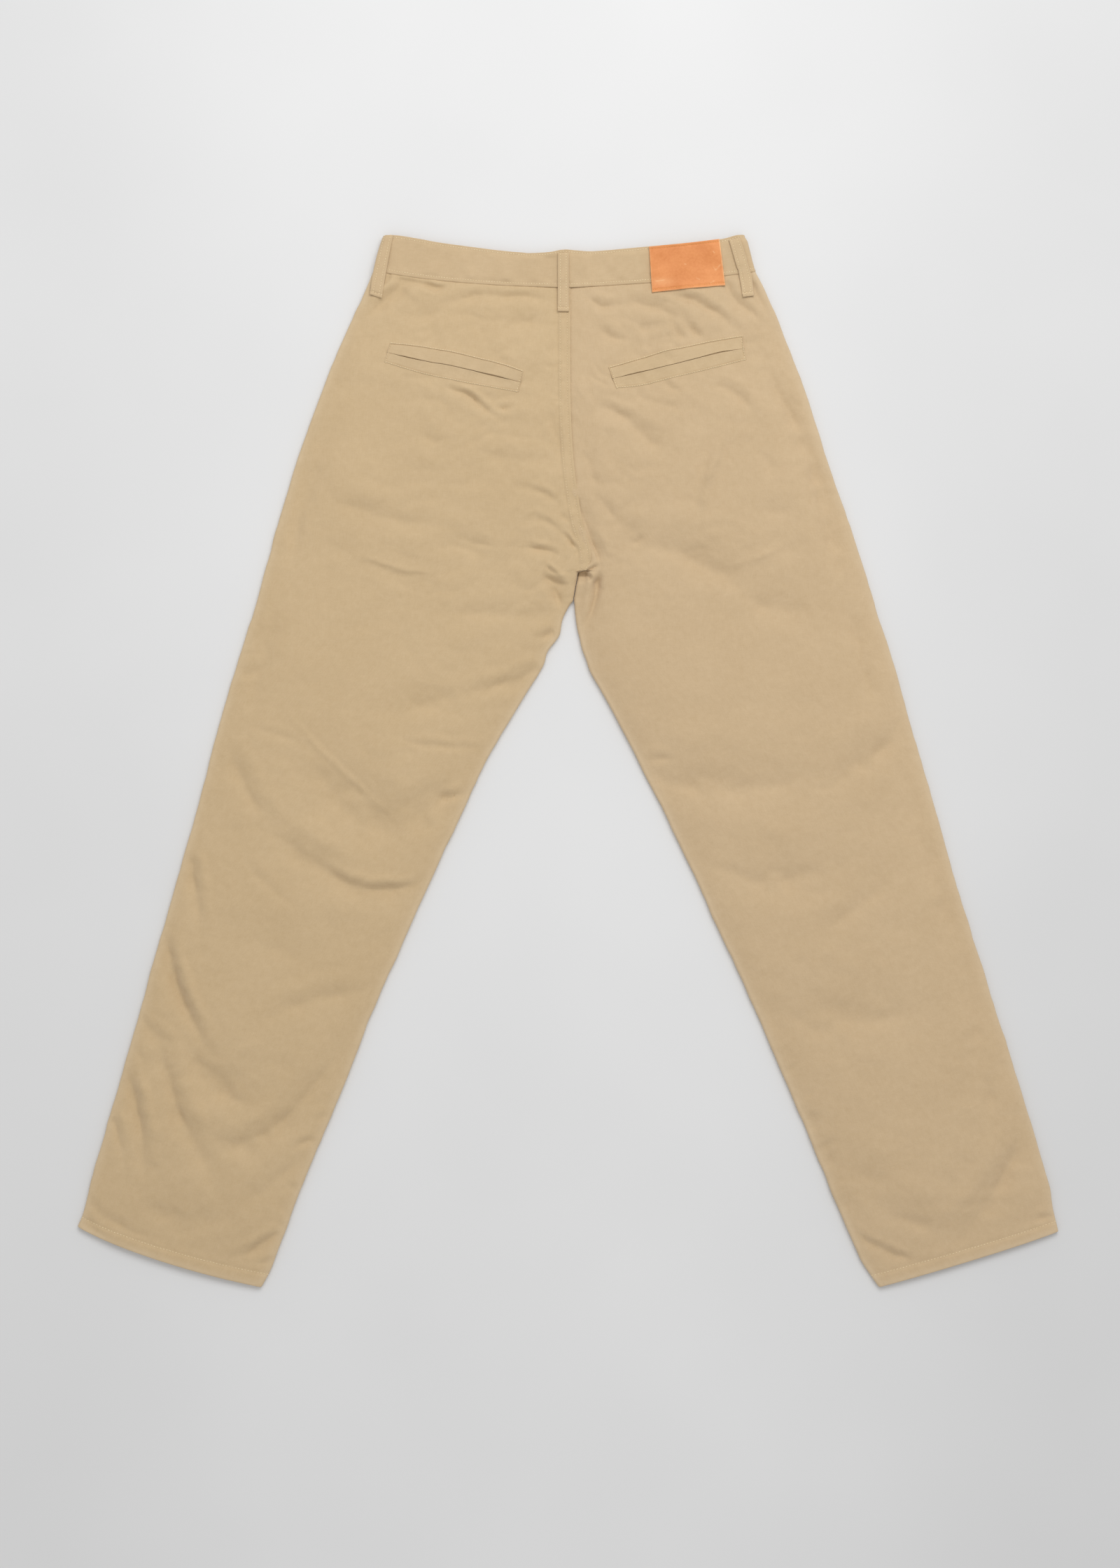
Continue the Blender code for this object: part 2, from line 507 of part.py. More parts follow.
def laid_on(tree, corners, steps_along, steps_down, down_from, down_to, thick, reach):
    """A plate on the surface between four corners, from one share of its height to another."""
    a, b, c, d = (np.array(corner) for corner in corners)
    lower = []
    upper = []
    for v in np.linspace(down_from, down_to, steps_down + 1):
        row = []
        for u in np.linspace(0, 1, steps_along + 1):
            x, y = (1 - v) * ((1 - u) * a + u * b) + v * ((1 - u) * d + u * c)
            row.append((x, y, highest(tree, x, y, reach) + SEAM_GAP))
        lower.append(row)
        upper.append([(x, y, z + thick) for x, y, z in row])
    return np.array(upper), np.array(lower)


def belt_loop(tree, loop):
    """A belt loop: tacked flat at both ends and bowed off the band between them."""
    top = np.array((loop.top_x, loop.top_y))
    bottom = np.array((loop.bottom_x, loop.bottom_y))
    run = bottom - top
    across = np.array((-run[1], run[0])) / np.hypot(*run) * loop.width / 2
    lower = []
    upper = []
    for share in (0.0, 0.08, 0.22, 0.38, 0.52, 0.6, 0.68, 0.8, 0.91, 1.0):
        stand = LOOP_STAND * math.sin(math.pi * share)
        row = []
        for side in (1, 0, -1):
            x, y = top + run * share + across * side
            row.append((x, y, highest(tree, x, y, 1.2) + SEAM_GAP + stand))
        low = max(point[2] for point in row)
        row = [(x, y, 0.5 * (z + low)) for x, y, z in row]
        lower.append(row)
        upper.append([(x, y, z + LOOP_THICK) for x, y, z in row])
    return np.array(upper), np.array(lower)


def front_loop(x):
    """A belt loop of the front: it lies flat on the surface under the band."""
    seam_x, seam_y = band_seam_line()
    edge = through(WAIST_EDGE, [6] * (len(WAIST_EDGE) - 1))
    top = np.interp(x, edge[:, 0], edge[:, 1]) - 1.0
    bottom = np.interp(x, seam_x, seam_y) - FRONT_LOOP_DROP
    lower = [[(x + side * LOOP_WIDTH / 2, y, 0.0) for side in (-1, 1)] for y in (top, 0.5 * (top + bottom), bottom)]
    lower = np.array(lower)
    return lower + np.array((0, 0, UNDER_TRIM)), lower


def button():
    """The waist button, face down under the band: a disc with a raised rim."""
    seam_x, seam_y = band_seam_line()
    middle_y = np.interp(BUTTON_X, seam_x, seam_y) + 18.0
    turned = ((0.72, 0.3), (0.8, 0.0), (0.94, 0.0), (1.0, 0.3), (1.0, UNDER_TRIM - 0.2), (0.96, UNDER_TRIM))
    points = []
    for share, z in turned:
        for k in range(BUTTON_SIDES):
            angle = 2 * math.pi * k / BUTTON_SIDES
            radius = BUTTON_RADIUS * share
            points.append((BUTTON_X + radius * math.cos(angle), middle_y + radius * math.sin(angle), z))
    faces = [tuple(range(BUTTON_SIDES))[::-1]]
    for ring in range(len(turned) - 1):
        for k in range(BUTTON_SIDES):
            a = ring * BUTTON_SIDES + k
            b = ring * BUTTON_SIDES + (k + 1) % BUTTON_SIDES
            faces.append((a, b, b + BUTTON_SIDES, a + BUTTON_SIDES))
    last = (len(turned) - 1) * BUTTON_SIDES
    faces.append(tuple(range(last, last + BUTTON_SIDES)))
    return points, faces


def build():
    """Every piece, panels first and then what lies on them."""
    for item in list(bpy.data.objects):
        bpy.data.objects.remove(item, do_unlink=True)
    base = {}
    for leg in ("left", "right"):
        base["back_" + leg] = wall_mesh(*back_panel(leg))
        base["waistband_" + leg] = wall_mesh(*waistband(leg))
        base["front_" + leg] = wall_mesh(*front_panel(leg))
        base["facing_" + leg] = wall_mesh(*facing(leg))
    for name, (points, faces) in base.items():
        make_object(name, points, faces, TWILL, 0.9)

    tree = tree_of(base.values())
    for leg, corners in WELT_CORNERS.items():
        for name, start, end in (("upper", 0.0, 0.5 - WELT_SLIT), ("lower", 0.5 + WELT_SLIT, 1.0)):
            grids = laid_on(tree, corners, WELT_STEPS, 1, start, end, WELT_THICK, 4.0)
            make_object(f"welt_{leg}_{name}", *wall_mesh(*grids), WELT_TWILL, 0.9)
    for loop in LOOPS:
        make_object(loop.name, *wall_mesh(*belt_loop(tree, loop)), TWILL, 0.9)
    for name, x in (("loop_front_left", -FRONT_LOOP_X), ("loop_front_right", FRONT_LOOP_X)):
        make_object(name, *wall_mesh(*front_loop(x)), TWILL, 0.9)
    patch = laid_on(tree, PATCH_CORNERS, 8, 6, 0.0, 1.0, PATCH_THICK, 4.0)
    make_object("patch", *wall_mesh(*patch), LEATHER, 0.55)
    make_object("waist_button", *button(), HORN, 0.35)


build()
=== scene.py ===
"""Chino trousers lying flat on their front, back side up: cloth, trims, thread and the floor they lie on.

Lengths in the tables and in the shaping functions are millimetres, with +X to the right, +Y to the waist and +Z up;
make_piece() turns them into metres. One table of sections draws both legs. A back panel lies on top, rolls round the
folds and ends on the underside, where the flat front panel carries on.
"""

import math
from collections import namedtuple
from types import SimpleNamespace

import bpy
import numpy as np
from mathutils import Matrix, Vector
from mathutils.bvhtree import BVHTree


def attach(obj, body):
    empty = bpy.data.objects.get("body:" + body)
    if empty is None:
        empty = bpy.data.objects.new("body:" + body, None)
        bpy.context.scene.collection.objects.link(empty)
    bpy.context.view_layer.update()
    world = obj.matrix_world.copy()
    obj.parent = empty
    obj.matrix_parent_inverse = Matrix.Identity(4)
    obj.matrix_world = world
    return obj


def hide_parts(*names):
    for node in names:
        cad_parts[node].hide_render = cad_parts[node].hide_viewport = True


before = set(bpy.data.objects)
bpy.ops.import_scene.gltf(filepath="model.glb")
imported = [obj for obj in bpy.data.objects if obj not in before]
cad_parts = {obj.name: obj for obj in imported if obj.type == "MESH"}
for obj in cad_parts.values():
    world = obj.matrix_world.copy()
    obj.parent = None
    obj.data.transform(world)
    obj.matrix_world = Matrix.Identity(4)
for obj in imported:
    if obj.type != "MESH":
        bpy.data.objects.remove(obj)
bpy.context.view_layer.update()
MM = 0.001
LEGS = ("left", "right")

# ---- cloth, millimetres ----
CLOTH = 0.8  # wall of a panel
HEM_CLOTH = 2.0  # panel and its turned-in hem
HEM_DEPTH = 15.0  # how far up the hem is turned in
HEM_ROW = 10.3  # stitches over the hem's edge
BAND_WALL = 1.7
BAND_RADIUS = 3.0  # both walls of the waistband, one on the other, are twice this high
BAND_ROLL = math.pi * BAND_RADIUS
BAND_DEPTH = 36.0
BAND_ROWS = (2.4, 3.3)  # stitch rows, from the band's upper and lower edge
BAND_LIFT = 1.5
SEAM_GAP = 0.3
FOLD_UNDER = 10.0  # how far a back panel runs on under its side fold
CROWN_REACH = 20.0
FOLD_RADIUS = 3.0
INNER_UNDER = FOLD_UNDER * 0.75  # and under its inner fold
UNDERSIDE = FOLD_RADIUS + FOLD_UNDER + SEAM_GAP  # how far in the front panels start
SEAM_STRIP = 14.0  # strip beside the seat seam that is drawn finely
CROTCH_STRIP = 18.0  # how much wider that strip is at the crotch
SEAM_LAP = 0.85
SEAM_ALLOWANCE = 6.0  # how far the right panel runs on under the left one
SEAM_ROWS = (2.9, 10.1)  # stitch rows, from the lapped edge
SEAM_DIP = 1.0
SEAM_DIP_REACH = 25.0
LEAST_HEIGHT = 3.6
HEIGHT_KNEE = 1.6  # how sharply the cloth levels out at its least height
LIFT_HOLDS = 24.0
LIFT_ENDS = 78.0
MIDDLE_GAP = 0.22
TUCK = 2.5  # how far the panels run on under the band
CENTRE_BACK_X = -4.7
FRONT_MIDDLE_X = 2.2  # the front's middle line at the waist
LOOP_WIDTH = 11.5
LOOP_THICK = 1.3
LOOP_ROW = 2.8  # stitch rows of a loop, from its sides
LOOP_TACK = 4.2  # tack of a loop, from its lower end

# ---- front, millimetres ----
FLY_LAP = 6.0
FLY_LENGTH = 170.0
FLY_ROW_END = FLY_LENGTH - 10
FLY_BEND = 118.0  # where the fly's stitch rows start to bend
FLY_RECESS = 1.0
POCKET_MOUTH = 34.0
POCKET_DROP = 155.0
LEAST_FACING = 8.0
FRONT_LOOP_X = 88.0
FRONT_LOOP_DROP = 18.0
FRONT_LOOP_THICK = 1.2
BUTTON_X = -4.0
BUTTON_RADIUS = 8.5
BUTTON_RISE = 18.0  # over the seam under the band
BUTTON_HOLE = 0.62  # radius
BUTTON_HOLE_REACH = 1.5  # from the middle, both ways

Section = namedtuple("Section", "name edge crown turn left_bow right_bow left_out left_in right_in right_out")
SECTIONS = [Section(*row) for row in (
    ("band seam", 5.35, 0.2, 0, 5.0, 2.5, (-199.8, 503.3), (2.2, 485.3), (2.2, 485.3), (192.6, 501.8)),
    ("under band", 5.2, 2.6, 0, 4.0, 2.0, (-210.6, 477.4), (2.2, 461.5), (2.2, 461.5), (204.8, 477.4)),
    ("pocket", 5.6, 6.4, 0, 2.0, 1.0, (-237.2, 419.0), (2.2, 408.2), (2.2, 408.2), (229.3, 419.0)),
    ("seat", 6.0, 8.0, 0, 0, 0, (-258.5, 365.0), (2.9, 357.8), (2.9, 357.8), (248.4, 365.0)),
    ("low seat", 6.0, 8.0, 0, 0, 0, (-279.0, 307.4), (6.1, 303.8), (6.1, 303.8), (266.8, 307.4)),
    ("rise", 6.0, 7.6, 0, 0, 0, (-295.9, 249.8), (14.4, 246.2), (14.4, 246.2), (286.9, 249.8)),
    ("low rise", 6.0, 7.0, 0, 0, 0, (-306.4, 213.8), (23.4, 213.8), (23.4, 213.8), (298.4, 213.8)),
    ("crotch", 6.0, 6.6, 0, 0, 0, (-310.9, 198.0), (19.1, 195.8), (19.1, 195.8), (303.5, 198.0)),
    ("between legs", 6.0, 6.4, 0.5, 0, 0, (-315.4, 181.4), (9.4, 182.2), (9.4, 182.2), (308.5, 181.4)),
    ("legs part", 6.0, 6.4, 1, 0, 0, (-319.7, 165.6), (5.8, 167.0), (5.8, 167.0), (313.6, 165.6)),
    ("thigh a", 6.0, 6.6, 1, 0, 0, (-324.4, 148.3), (-4.7, 146.9), (7.9, 143.3), (319.3, 146.2)),
    ("thigh b", 6.0, 6.8, 1, 0, 0, (-330.1, 131.0), (-9.0, 128.2), (11.9, 122.4), (325.1, 129.6)),
    ("thigh c", 6.0, 7.0, 1, 0, 0, (-335.2, 113.8), (-19.8, 112.3), (16.9, 105.1), (330.1, 113.0)),
    ("thigh d", 6.0, 7.0, 1, 0, 0, (-340.2, 97.9), (-25.6, 95.0), (22.7, 88.6), (335.2, 97.2)),
    ("thigh e", 6.0, 7.0, 1, 0, 0, (-349.6, 69.1), (-45.7, 63.4), (41.4, 57.6), (343.1, 68.4)),
    ("above knee", 6.0, 7.0, 1, 0, 0, (-364.7, 13.7), (-80.3, 5.0), (71.6, -0.7), (358.9, 13.0)),
    ("knee", 6.0, 6.6, 1, 0, 0, (-385.6, -65.5), (-121.3, -81.4), (114.1, -86.4), (382.0, -67.0)),
    ("under knee", 6.0, 6.4, 1, 0, 0, (-407.9, -144.0), (-160.2, -167.8), (153.0, -172.1), (405.0, -146.2)),
    ("calf", 6.0, 6.2, 1, 0, 0, (-430.2, -221.8), (-198.4, -254.2), (191.9, -257.8), (429.5, -224.6)),
    ("shin", 6.0, 6.2, 1, 0, 0, (-451.8, -298.8), (-232.2, -340.6), (228.6, -342.7), (454.0, -302.4)),
    ("low shin", 6.0, 6.0, 1, 2.0, 0.5, (-474.1, -375.8), (-268.2, -427.0), (263.9, -428.4), (478.0, -380.2)),
    ("ankle", 6.0, 4.0, 1, 5.0, 1.0, (-489.2, -427.0), (-290.5, -484.6), (287.6, -486.0), (493.4, -432.0)),
    ("hem turn", 5.0, 1.6, 1, 6.5, 1.5, (-496.8, -460.8), (-302.8, -518.4), (302.8, -517.0), (499.0, -462.0)),
    ("hem", 4.8, 1.2, 1, 7.0, 2.0, (-503.6, -477.4), (-314.3, -540.07), (318.6, -540.06), (503.6, -482.4)),
)]
LEGS_PART = 9  # the section where the legs part
SEAM_END_Y = 195.4
SEAM_END_STEP = 1.5
TOUCH_LINE = ((167.0, 185.8, 194.2), (5.8, 9.2, 10.6))  # y and x of the line where the legs touch

# top edge of the waist, side fold to side fold
WAIST_EDGE = (
    (-188.3, 539.0), (-186.0, 539.3), (-173.7, 539.0), (-151.6, 535.4), (-133.3, 532.0), (-109.1, 528.6),
    (-80.3, 524.9), (-65.9, 523.2), (-47.9, 521.6), (-38.5, 521.0), (-20.0, 522.0), (-8.3, 524.2), (-1.5, 524.7),
    (8.0, 523.8), (22.0, 522.8), (36.0, 523.6), (49.3, 524.7), (82.4, 527.8), (118.0, 531.2), (155.2, 535.0),
    (172.0, 539.2), (181.1, 539.8),
)

# creases and swells of the cloth: a curve through three points, half width, depth (a crest is negative), lean, which
# makes the side towards the waist the steeper one, and how far along the crease is deepest
Fold = namedtuple("Fold", "name x0 y0 xm ym x1 y1 half_width depth lean peak")
FOLDS = {leg: [Fold(*row) for row in rows] for leg, rows in {
    "left": (
        ("knee crease", -267.5, -100.1, -206.3, -130.3, -142.2, -121.7, 9, 5.2, 0.7, 0.5),
        ("knee crease lead", -350.3, 18, -330, -27, -292, -82, 9, 2.4, 0.3, 0.5),
        ("knee hollow", -294, 44, -228, -50, -150, -70, 25, 5.6, -0.15, 0.6),
        ("knee hollow return", -178, -70, -142, -48, -106, -10, 15, 5, 0, 0.5),
        ("pressed line", -302, 64.1, -231.5, -10.1, -159.5, -74.2, 2.2, -1.2, 0, 0.5),
        ("inner knee nick", -136, -41, -120, -37, -101, -30.5, 3.6, 3, 0, 0.6),
        ("fine line above knee", -181.1, 25.2, -134.3, 15.1, -86, 13.7, 2.9, 1.6, 0, 0.5),
        ("fine line outer thigh", -332.3, 41, -296.3, 25.2, -266, 13.7, 3.6, 0.9, 0, 0.5),
        ("outer shin nick", -391, -95, -382, -132, -374.5, -198, 6.5, 4, 0.3, 0.3),
        ("outer shin crease", -413, -171, -399, -236, -366, -300, 8, 6.4, 0.4, 0.4),
        ("shin hollow", -385.6, -287.3, -362.5, -334.8, -307.8, -349.2, 21, 6.6, -0.35, 0.5),
        ("outer shin fine", -441, -258, -433, -272, -420, -279, 4, 1.4, 0, 0.3),
        ("shin diagonal", -424, -272, -403, -345, -378, -405, 9.5, 5.4, 0.3, 0.6),
        ("shin diagonal end", -386, -391, -374, -414, -362, -443, 13, 3.4, 0, 0.5),
        ("ankle outer crease", -455, -319, -440, -365, -437, -434, 7.5, 5.6, 0.4, 0.3),
        ("ankle outer short", -469.1, -366.5, -461.9, -385.2, -456.1, -414, 5, 3.6, 0, 0.1),
        ("shin smile", -374, -374.6, -314, -385.6, -234, -295.6, 12.5, 5.8, 0.4, 0.45),
        ("inner shin nick", -283.3, -398.2, -269.6, -391.7, -255.2, -388.1, 3.4, 2.4, 0, 0.6),
        ("inner shin fine a", -263.2, -370.8, -256, -366.5, -248, -362.2, 2.9, 1.3, 0, 0.9),
        ("inner shin fine b", -297.7, -439.9, -287.6, -439.2, -277.6, -438.5, 2.9, 1, 0, 0.9),
        ("hem inner crease", -346.7, -510.5, -320.8, -501.1, -291.2, -479.5, 5, 4, 0.3, 0.7),
        ("hem inner short", -320.8, -517.7, -310.7, -514.1, -300.6, -511.2, 2.9, 1.6, 0, 0.8),
        ("hem outer crease", -493, -440, -470, -471, -390, -504, 5.2, 1.7, 0.2, 0.2),
        ("hem outer dent", -500.8, -470.2, -489.2, -478.8, -474.8, -488.9, 5.8, 2.9, 0, 0.1),
        ("ankle hollow", -446, -430, -397, -476, -320, -457, 20, 3.6, -0.2, 0.5),
        ("inner thigh crease", -26.3, 94.2, -65.9, 79.8, -123.5, 64.7, 7.9, 4, 0.4, 0.1),
        ("inner thigh crease end", -112, 71, -150, 56, -208, 51, 14, 3.1, 0, 0.3),
        ("inner thigh dent", -36, 125.4, -22, 129.9, -11.9, 133.2, 5.5, 3.4, 0.4, 0.8),
        ("crotch pucker a", -25.6, 195.1, -13.3, 184.3, 4, 179.3, 5, 5.6, 0.4, 0.5),
        ("crotch pucker b", -24, 201.6, -15.5, 195.8, -6.8, 188.4, 3, 3.4, 0.5, 0.5),
        ("crotch pucker c", -18.4, 187.9, -11.2, 169.2, -5.4, 151.9, 6, 4.8, 0.1, 0.45),
        ("crotch pucker d", -54, 220.7, -29.9, 216, -6.3, 209.5, 4, 3, 0.4, 0.6),
        ("seat line at seam", -9.3, 235.5, 1.6, 227.6, 9.4, 215.4, 2.1, 3, 0.3, 0.6),
        ("seat nick at seam", -10.4, 256.3, -4.7, 251.3, 0.4, 245.5, 3.6, 1.6, 0, 0.8),
        ("seat fine a", -58, 281, -31, 276, -6, 260, 3.4, 1.8, 0.2, 0.6),
        ("seat soft crease", -244, 268.6, -190, 249, -112, 237, 10, 2.1, 0.2, 0.4),
        ("seat curved line", -248.8, 229.7, -195.5, 200.9, -112.7, 169.2, 6.5, 1.5, 0.2, 0.35),
        ("seat curved crest", -243, 230, -200, 204, -128, 189.5, 5, -1.8, 0, 0.6),
        ("seat fine b", -112.7, 229.7, -91.1, 222.5, -65.9, 219.6, 4, 1.1, 0, 0.5),
        ("upper thigh line", -146, 155, -75, 149.5, -12, 151, 8, 1.7, 0.1, 0.72),
        ("band pucker a", -176.8, 495.5, -159.5, 491.2, -143.6, 488.3, 2.9, 4.4, 0.3, 0.35),
        ("band pucker b", -150.8, 492.6, -139.3, 486.8, -123.5, 486.1, 2.9, 4.2, 0.2, 0.5),
        ("hip diagonal", -164.5, 491.8, -186.8, 471.6, -211.3, 450, 5.8, 3.6, 0.2, 0.2),
        ("below band soft", -123.5, 466.6, -90.4, 477.4, -57.2, 474.5, 5, 2.2, -0.1, 0.5),
        ("below pocket crease a", -131, 385, -101, 372, -68, 348.5, 3.4, 2.5, 0.3, 0.66),
        ("below pocket crease b", -82, 366, -68, 362.5, -52, 364, 3.6, 0.8, 0, 0.5),
        ("below pocket crease c", -77.4, 363.6, -65.9, 361.4, -53.6, 362.9, 2.9, 1, 0, 0.5),
        ("seat soft spot a", -155, 338, -141.5, 329, -126, 323, 8, 1.5, 0, 0.5),
        ("seat soft spot b", -90, 317.5, -69.5, 311, -50, 309, 8, 1.5, 0, 0.5),
        ("outer thigh nick", -335.2, 89.3, -317.9, 92.2, -299.2, 101.5, 4.3, 1.6, 0, 0.1),
        ("outer thigh fine", -337.3, 108.7, -326.5, 108, -315, 110.2, 2.9, 0.9, 0, 0.1),
        ("outer seam hollow", -250, 322, -272, 257, -291, 174, 14, 2.5, 0, 0.5),
        ("knee fine diagonal", -335.9, -97.2, -307.1, -128.2, -270.4, -151.2, 4.3, 1, 0, 0.5),
        ("inner shin soft", -322, -270, -262, -246, -198, -232, 9, 2.3, 0.2, 0.5),
        ("knee crease broad", -307.1, -67, -267.5, -100.1, -209.9, -126, 16, 4.6, 0.4, 0.55),
        ("inner ankle soft", -346.7, -463, -303.5, -434.2, -267.5, -398.2, 9, 2.4, 0, 0.7),
        ("shin broad hollow", -368.3, -182.2, -310.7, -189.4, -253.1, -218.2, 14, 1.3, 0, 0.5),
        ("outer thigh hollow", -294, 182, -314, 100, -332, 26, 12, 2, 0, 0.4),
        ("seat fine c", -46, 248.5, -26, 246, -7, 231, 3, 1.6, 0.2, 0.6),
        ("seat soft hollow", -138, 218, -105.5, 217, -76, 206, 10, 1.9, 0, 0.5),
        ("seam side hollow", -22, 362, -13, 340, -8.5, 306, 5, 1, 0, 0.5),
        ("shin smile arm", -298, -373, -267.5, -343, -234, -303, 12, 1.7, 0.1, 0.6),
        ("below band soft b", -77.4, 471.6, -50, 477.4, -21.2, 471.6, 4, 1.8, 0, 0.5),
        ("below loop soft", -68.8, 444.2, -42.8, 450, -15.5, 444.2, 6, 1.3, 0, 0.5),
        ("hip soft", -176.8, 460.1, -148, 457.2, -114.8, 463, 8, 1.3, 0, 0.5),
        ("band pucker c", -182.9, 501.8, -184.3, 497.5, -187.2, 492.5, 1.7, 2.4, 0, 0.4),
    ),
    "right": (
        ("knee valley a", 62, -4, 163, -29, 310, -4, 19, 4.8, -0.15, 0.42),
        ("knee valley b", 259.6, -22.3, 307.1, -0.7, 348.8, 49.7, 13, 4.4, -0.1, 0.55),
        ("lower knee valley", 127.1, -94.3, 212, -123.1, 302.8, -90, 18, 4, -0.15, 0.5),
        ("shin soft diagonal", 262, -180, 294, -152, 340, -118, 11, 2.8, 0, 0.5),
        ("knee fine", 243.7, -27.4, 258.1, -28.8, 272.5, -26.6, 2.9, 0.8, 0, 0.5),
        ("crotch step upper", 9, 266.5, 23.4, 228, 33.2, 203.2, 3.6, 3, -0.5, 0.8),
        ("crotch step lower", 33.6, 197.5, 27.4, 168, 13.6, 130, 4.4, 6.4, 0.1, 0.35),
        ("seam end shadow", 16.5, 192.4, 22, 188.6, 23.2, 180.5, 2.5, 4.4, 0.35, 0.3),
        ("strip end", 17.5, 192.8, 24.6, 197.4, 33.8, 201.3, 2.3, 3.6, 0.35, 0.5),
        ("patch diagonal", 161.6, 493.2, 177.5, 468.7, 210.6, 444.2, 5, 2.9, 0.2, 0.2),
        ("hip nick", 189, 494.6, 197.6, 473, 217.1, 438.5, 3.6, 2.1, 0, 0.2),
        ("below patch crease a", 99.7, 478.8, 138.6, 467.3, 180.4, 432.7, 4.2, 2.4, 0.1, 0.4),
        ("below patch crease b", 52.9, 468, 88.9, 465.8, 128.5, 441.4, 5.8, 1.9, 0, 0.5),
        ("below patch crease c", 24.1, 450, 43.6, 435.6, 68, 430.6, 5, 1.6, 0, 0.5),
        ("below pocket hollow", 140, 384, 168, 378, 190, 352, 5.5, 1.5, 0.2, 0.65),
        ("seat crease a", 30, 362, 51, 356.5, 68, 346, 4.6, 1.7, 0.2, 0.5),
        ("seat crease b", 58, 351, 82, 329.5, 104, 319, 7.5, 2.1, 0.2, 0.5),
        ("outer seam hollow a", 193, 416, 229, 350, 252, 275, 10, 3.2, 0, 0.5),
        ("outer seam hollow b", 240.8, 343.4, 262.4, 257, 279.7, 170.6, 12, 4.6, -0.3, 0.5),
        ("seat nick at seam", 23.4, 273.6, 35, 262.8, 48.6, 249.1, 5, 1.2, 0, 0.8),
        ("seat fine", 62.3, 221.8, 70.9, 224.6, 81, 227.5, 2.9, 1.3, 0, 0.5),
        ("seat long diagonal", 76, 223, 134, 204, 194, 160, 16, 3.9, -0.1, 0.6),
        ("seat long diagonal end", 178, 170, 212, 155, 254, 152, 16, 3.2, -0.1, 0.4),
        ("pocket bag crest", 160.5, 339.1, 145.4, 293, 137.5, 247, 4.2, -3, 0, 0.5),
        ("pocket bag lower crest", 150.1, 200.3, 196.9, 208.9, 238, 235.6, 4.3, -0.8, 0, 0.5),
        ("side seam crest", 283.3, 223.9, 285.5, 198, 286.2, 172.1, 2.2, -0.7, 0, 0.5),
        ("hem inner crease", 290, -481, 324, -502.5, 360, -514, 4.6, 3, 0.4, 0.6),
        ("hem inner fine", 288.4, -496.1, 295.6, -494.6, 304.2, -495.4, 2.2, 1, 0, 0.5),
        ("shin outer hollow", 419.4, -311.8, 432.4, -347.8, 425.2, -385.2, 10, 2, 0, 0.5),
        ("ankle outer diagonal", 466, -372, 447, -428, 406, -490, 12, 5.4, 0.1, 0.62),
        ("ankle inner diagonal", 303, -447, 347, -470, 399, -487, 12, 2.8, -0.1, 0.5),
        ("shin broad hollow", 180, -262, 282, -264, 402, -262, 25, 4.1, -0.1, 0.5),
        ("ankle soft", 282, -411, 307, -428, 334, -437, 12, 2.5, 0, 0.5),
        ("hem outer crease", 477, -473, 488.5, -469.4, 501.5, -466.6, 3.6, 2.8, 0, 0.9),
        ("shin outer nick", 461.2, -362.2, 468.4, -360, 475.6, -355, 2.9, 1, 0, 0.5),
        ("shin puff edge", 330.1, 10.8, 348.8, -31, 364.7, -74.2, 8.6, 1.2, 0, 0.5),
        ("inner knee nick", 80, -4, 96, 2, 114, -2, 4, 1.8, 0, 0.4),
        ("lower knee valley second", 182, -129, 262, -135, 340, -98, 12, 1.8, -0.1, 0.5),
        ("outer seam hollow c", 338, -18, 377, -120, 402, -202, 10, 3, 0, 0.5),
        ("outer seam hollow d", 399, -188, 418, -275, 417, -352, 10, 2.8, 0, 0.5),
        ("seat diagonal start", 44, 262, 57, 240, 80, 228, 8, 1.5, 0.2, 0.5),
        ("outer seat dent", 195, 322, 204, 304, 212, 284, 6, 1, 0, 0.5),
        ("outer seat hollow", 188, 262, 213, 255, 240, 262, 14, 1.4, 0, 0.5),
        ("seam side hollow", 12, 326, 23, 295, 28, 270, 8, 1.3, 0, 0.5),
        ("outer thigh hollow", 281, 172, 300, 110, 320, 36, 10, 2.6, 0, 0.5),
        ("seat long diagonal start", 43.6, 231.1, 85.3, 216.7, 130, 205.2, 13, 1.9, -0.1, 0.55),
        ("below band crease", 17.6, 476.6, 34.9, 467.3, 55.1, 468.7, 4, 2, 0, 0.5),
        ("above pocket soft", 49.3, 444.2, 85.3, 444.2, 117.7, 455, 6, 1.4, 0, 0.5),
        ("above pocket tuck a", 104, 453, 109, 443, 117, 430, 3.4, 1.5, 0, 0.5),
        ("above pocket tuck b", 119, 449, 128, 441, 139, 433, 3.4, 1.5, 0, 0.5),
        ("below pocket tuck", 100, 393, 106, 383, 118, 374, 3.6, 1.2, 0, 0.4),
    ),
}.items()}
CREASE_STEPS = 14
CREASE_REACH = 4.5  # how far off a crease is felt, in half widths

# where the cloth is more rumpled than elsewhere: the middle of the spot, its reach and how much more
Rumple = namedtuple("Rumple", "x y reach more")
RUMPLES = {leg: [Rumple(*row) for row in rows] for leg, rows in {
    "left": (
        (-150, 478, 50, 2.4), (-70, 445, 65, 2.0), (-90, 345, 65, 1.2), (-10, 300, 45, 0.7), (-30, 195, 60, 1.5),
        (-170, 225, 80, 0.6), (-110, 90, 90, 0.6), (-240, -70, 90, 0.7), (-400, -300, 75, 1.2), (-390, -450, 80, 0.7),
    ),
    "right": (
        (120, 462, 55, 2.1), (60, 400, 65, 1.6), (30, 290, 50, 0.8), (210, 400, 50, 0.7), (110, 215, 80, 0.5),
        (400, -440, 90, 0.7),
    ),
}.items()}
ROW_STRETCHES = ((0, 1.6), (40, 2.4), (64, 1.5), (142, 2.6), (300, 1.3), (372, 2.65))  # start and spacing of rows
HEM_STRETCH = 20.0

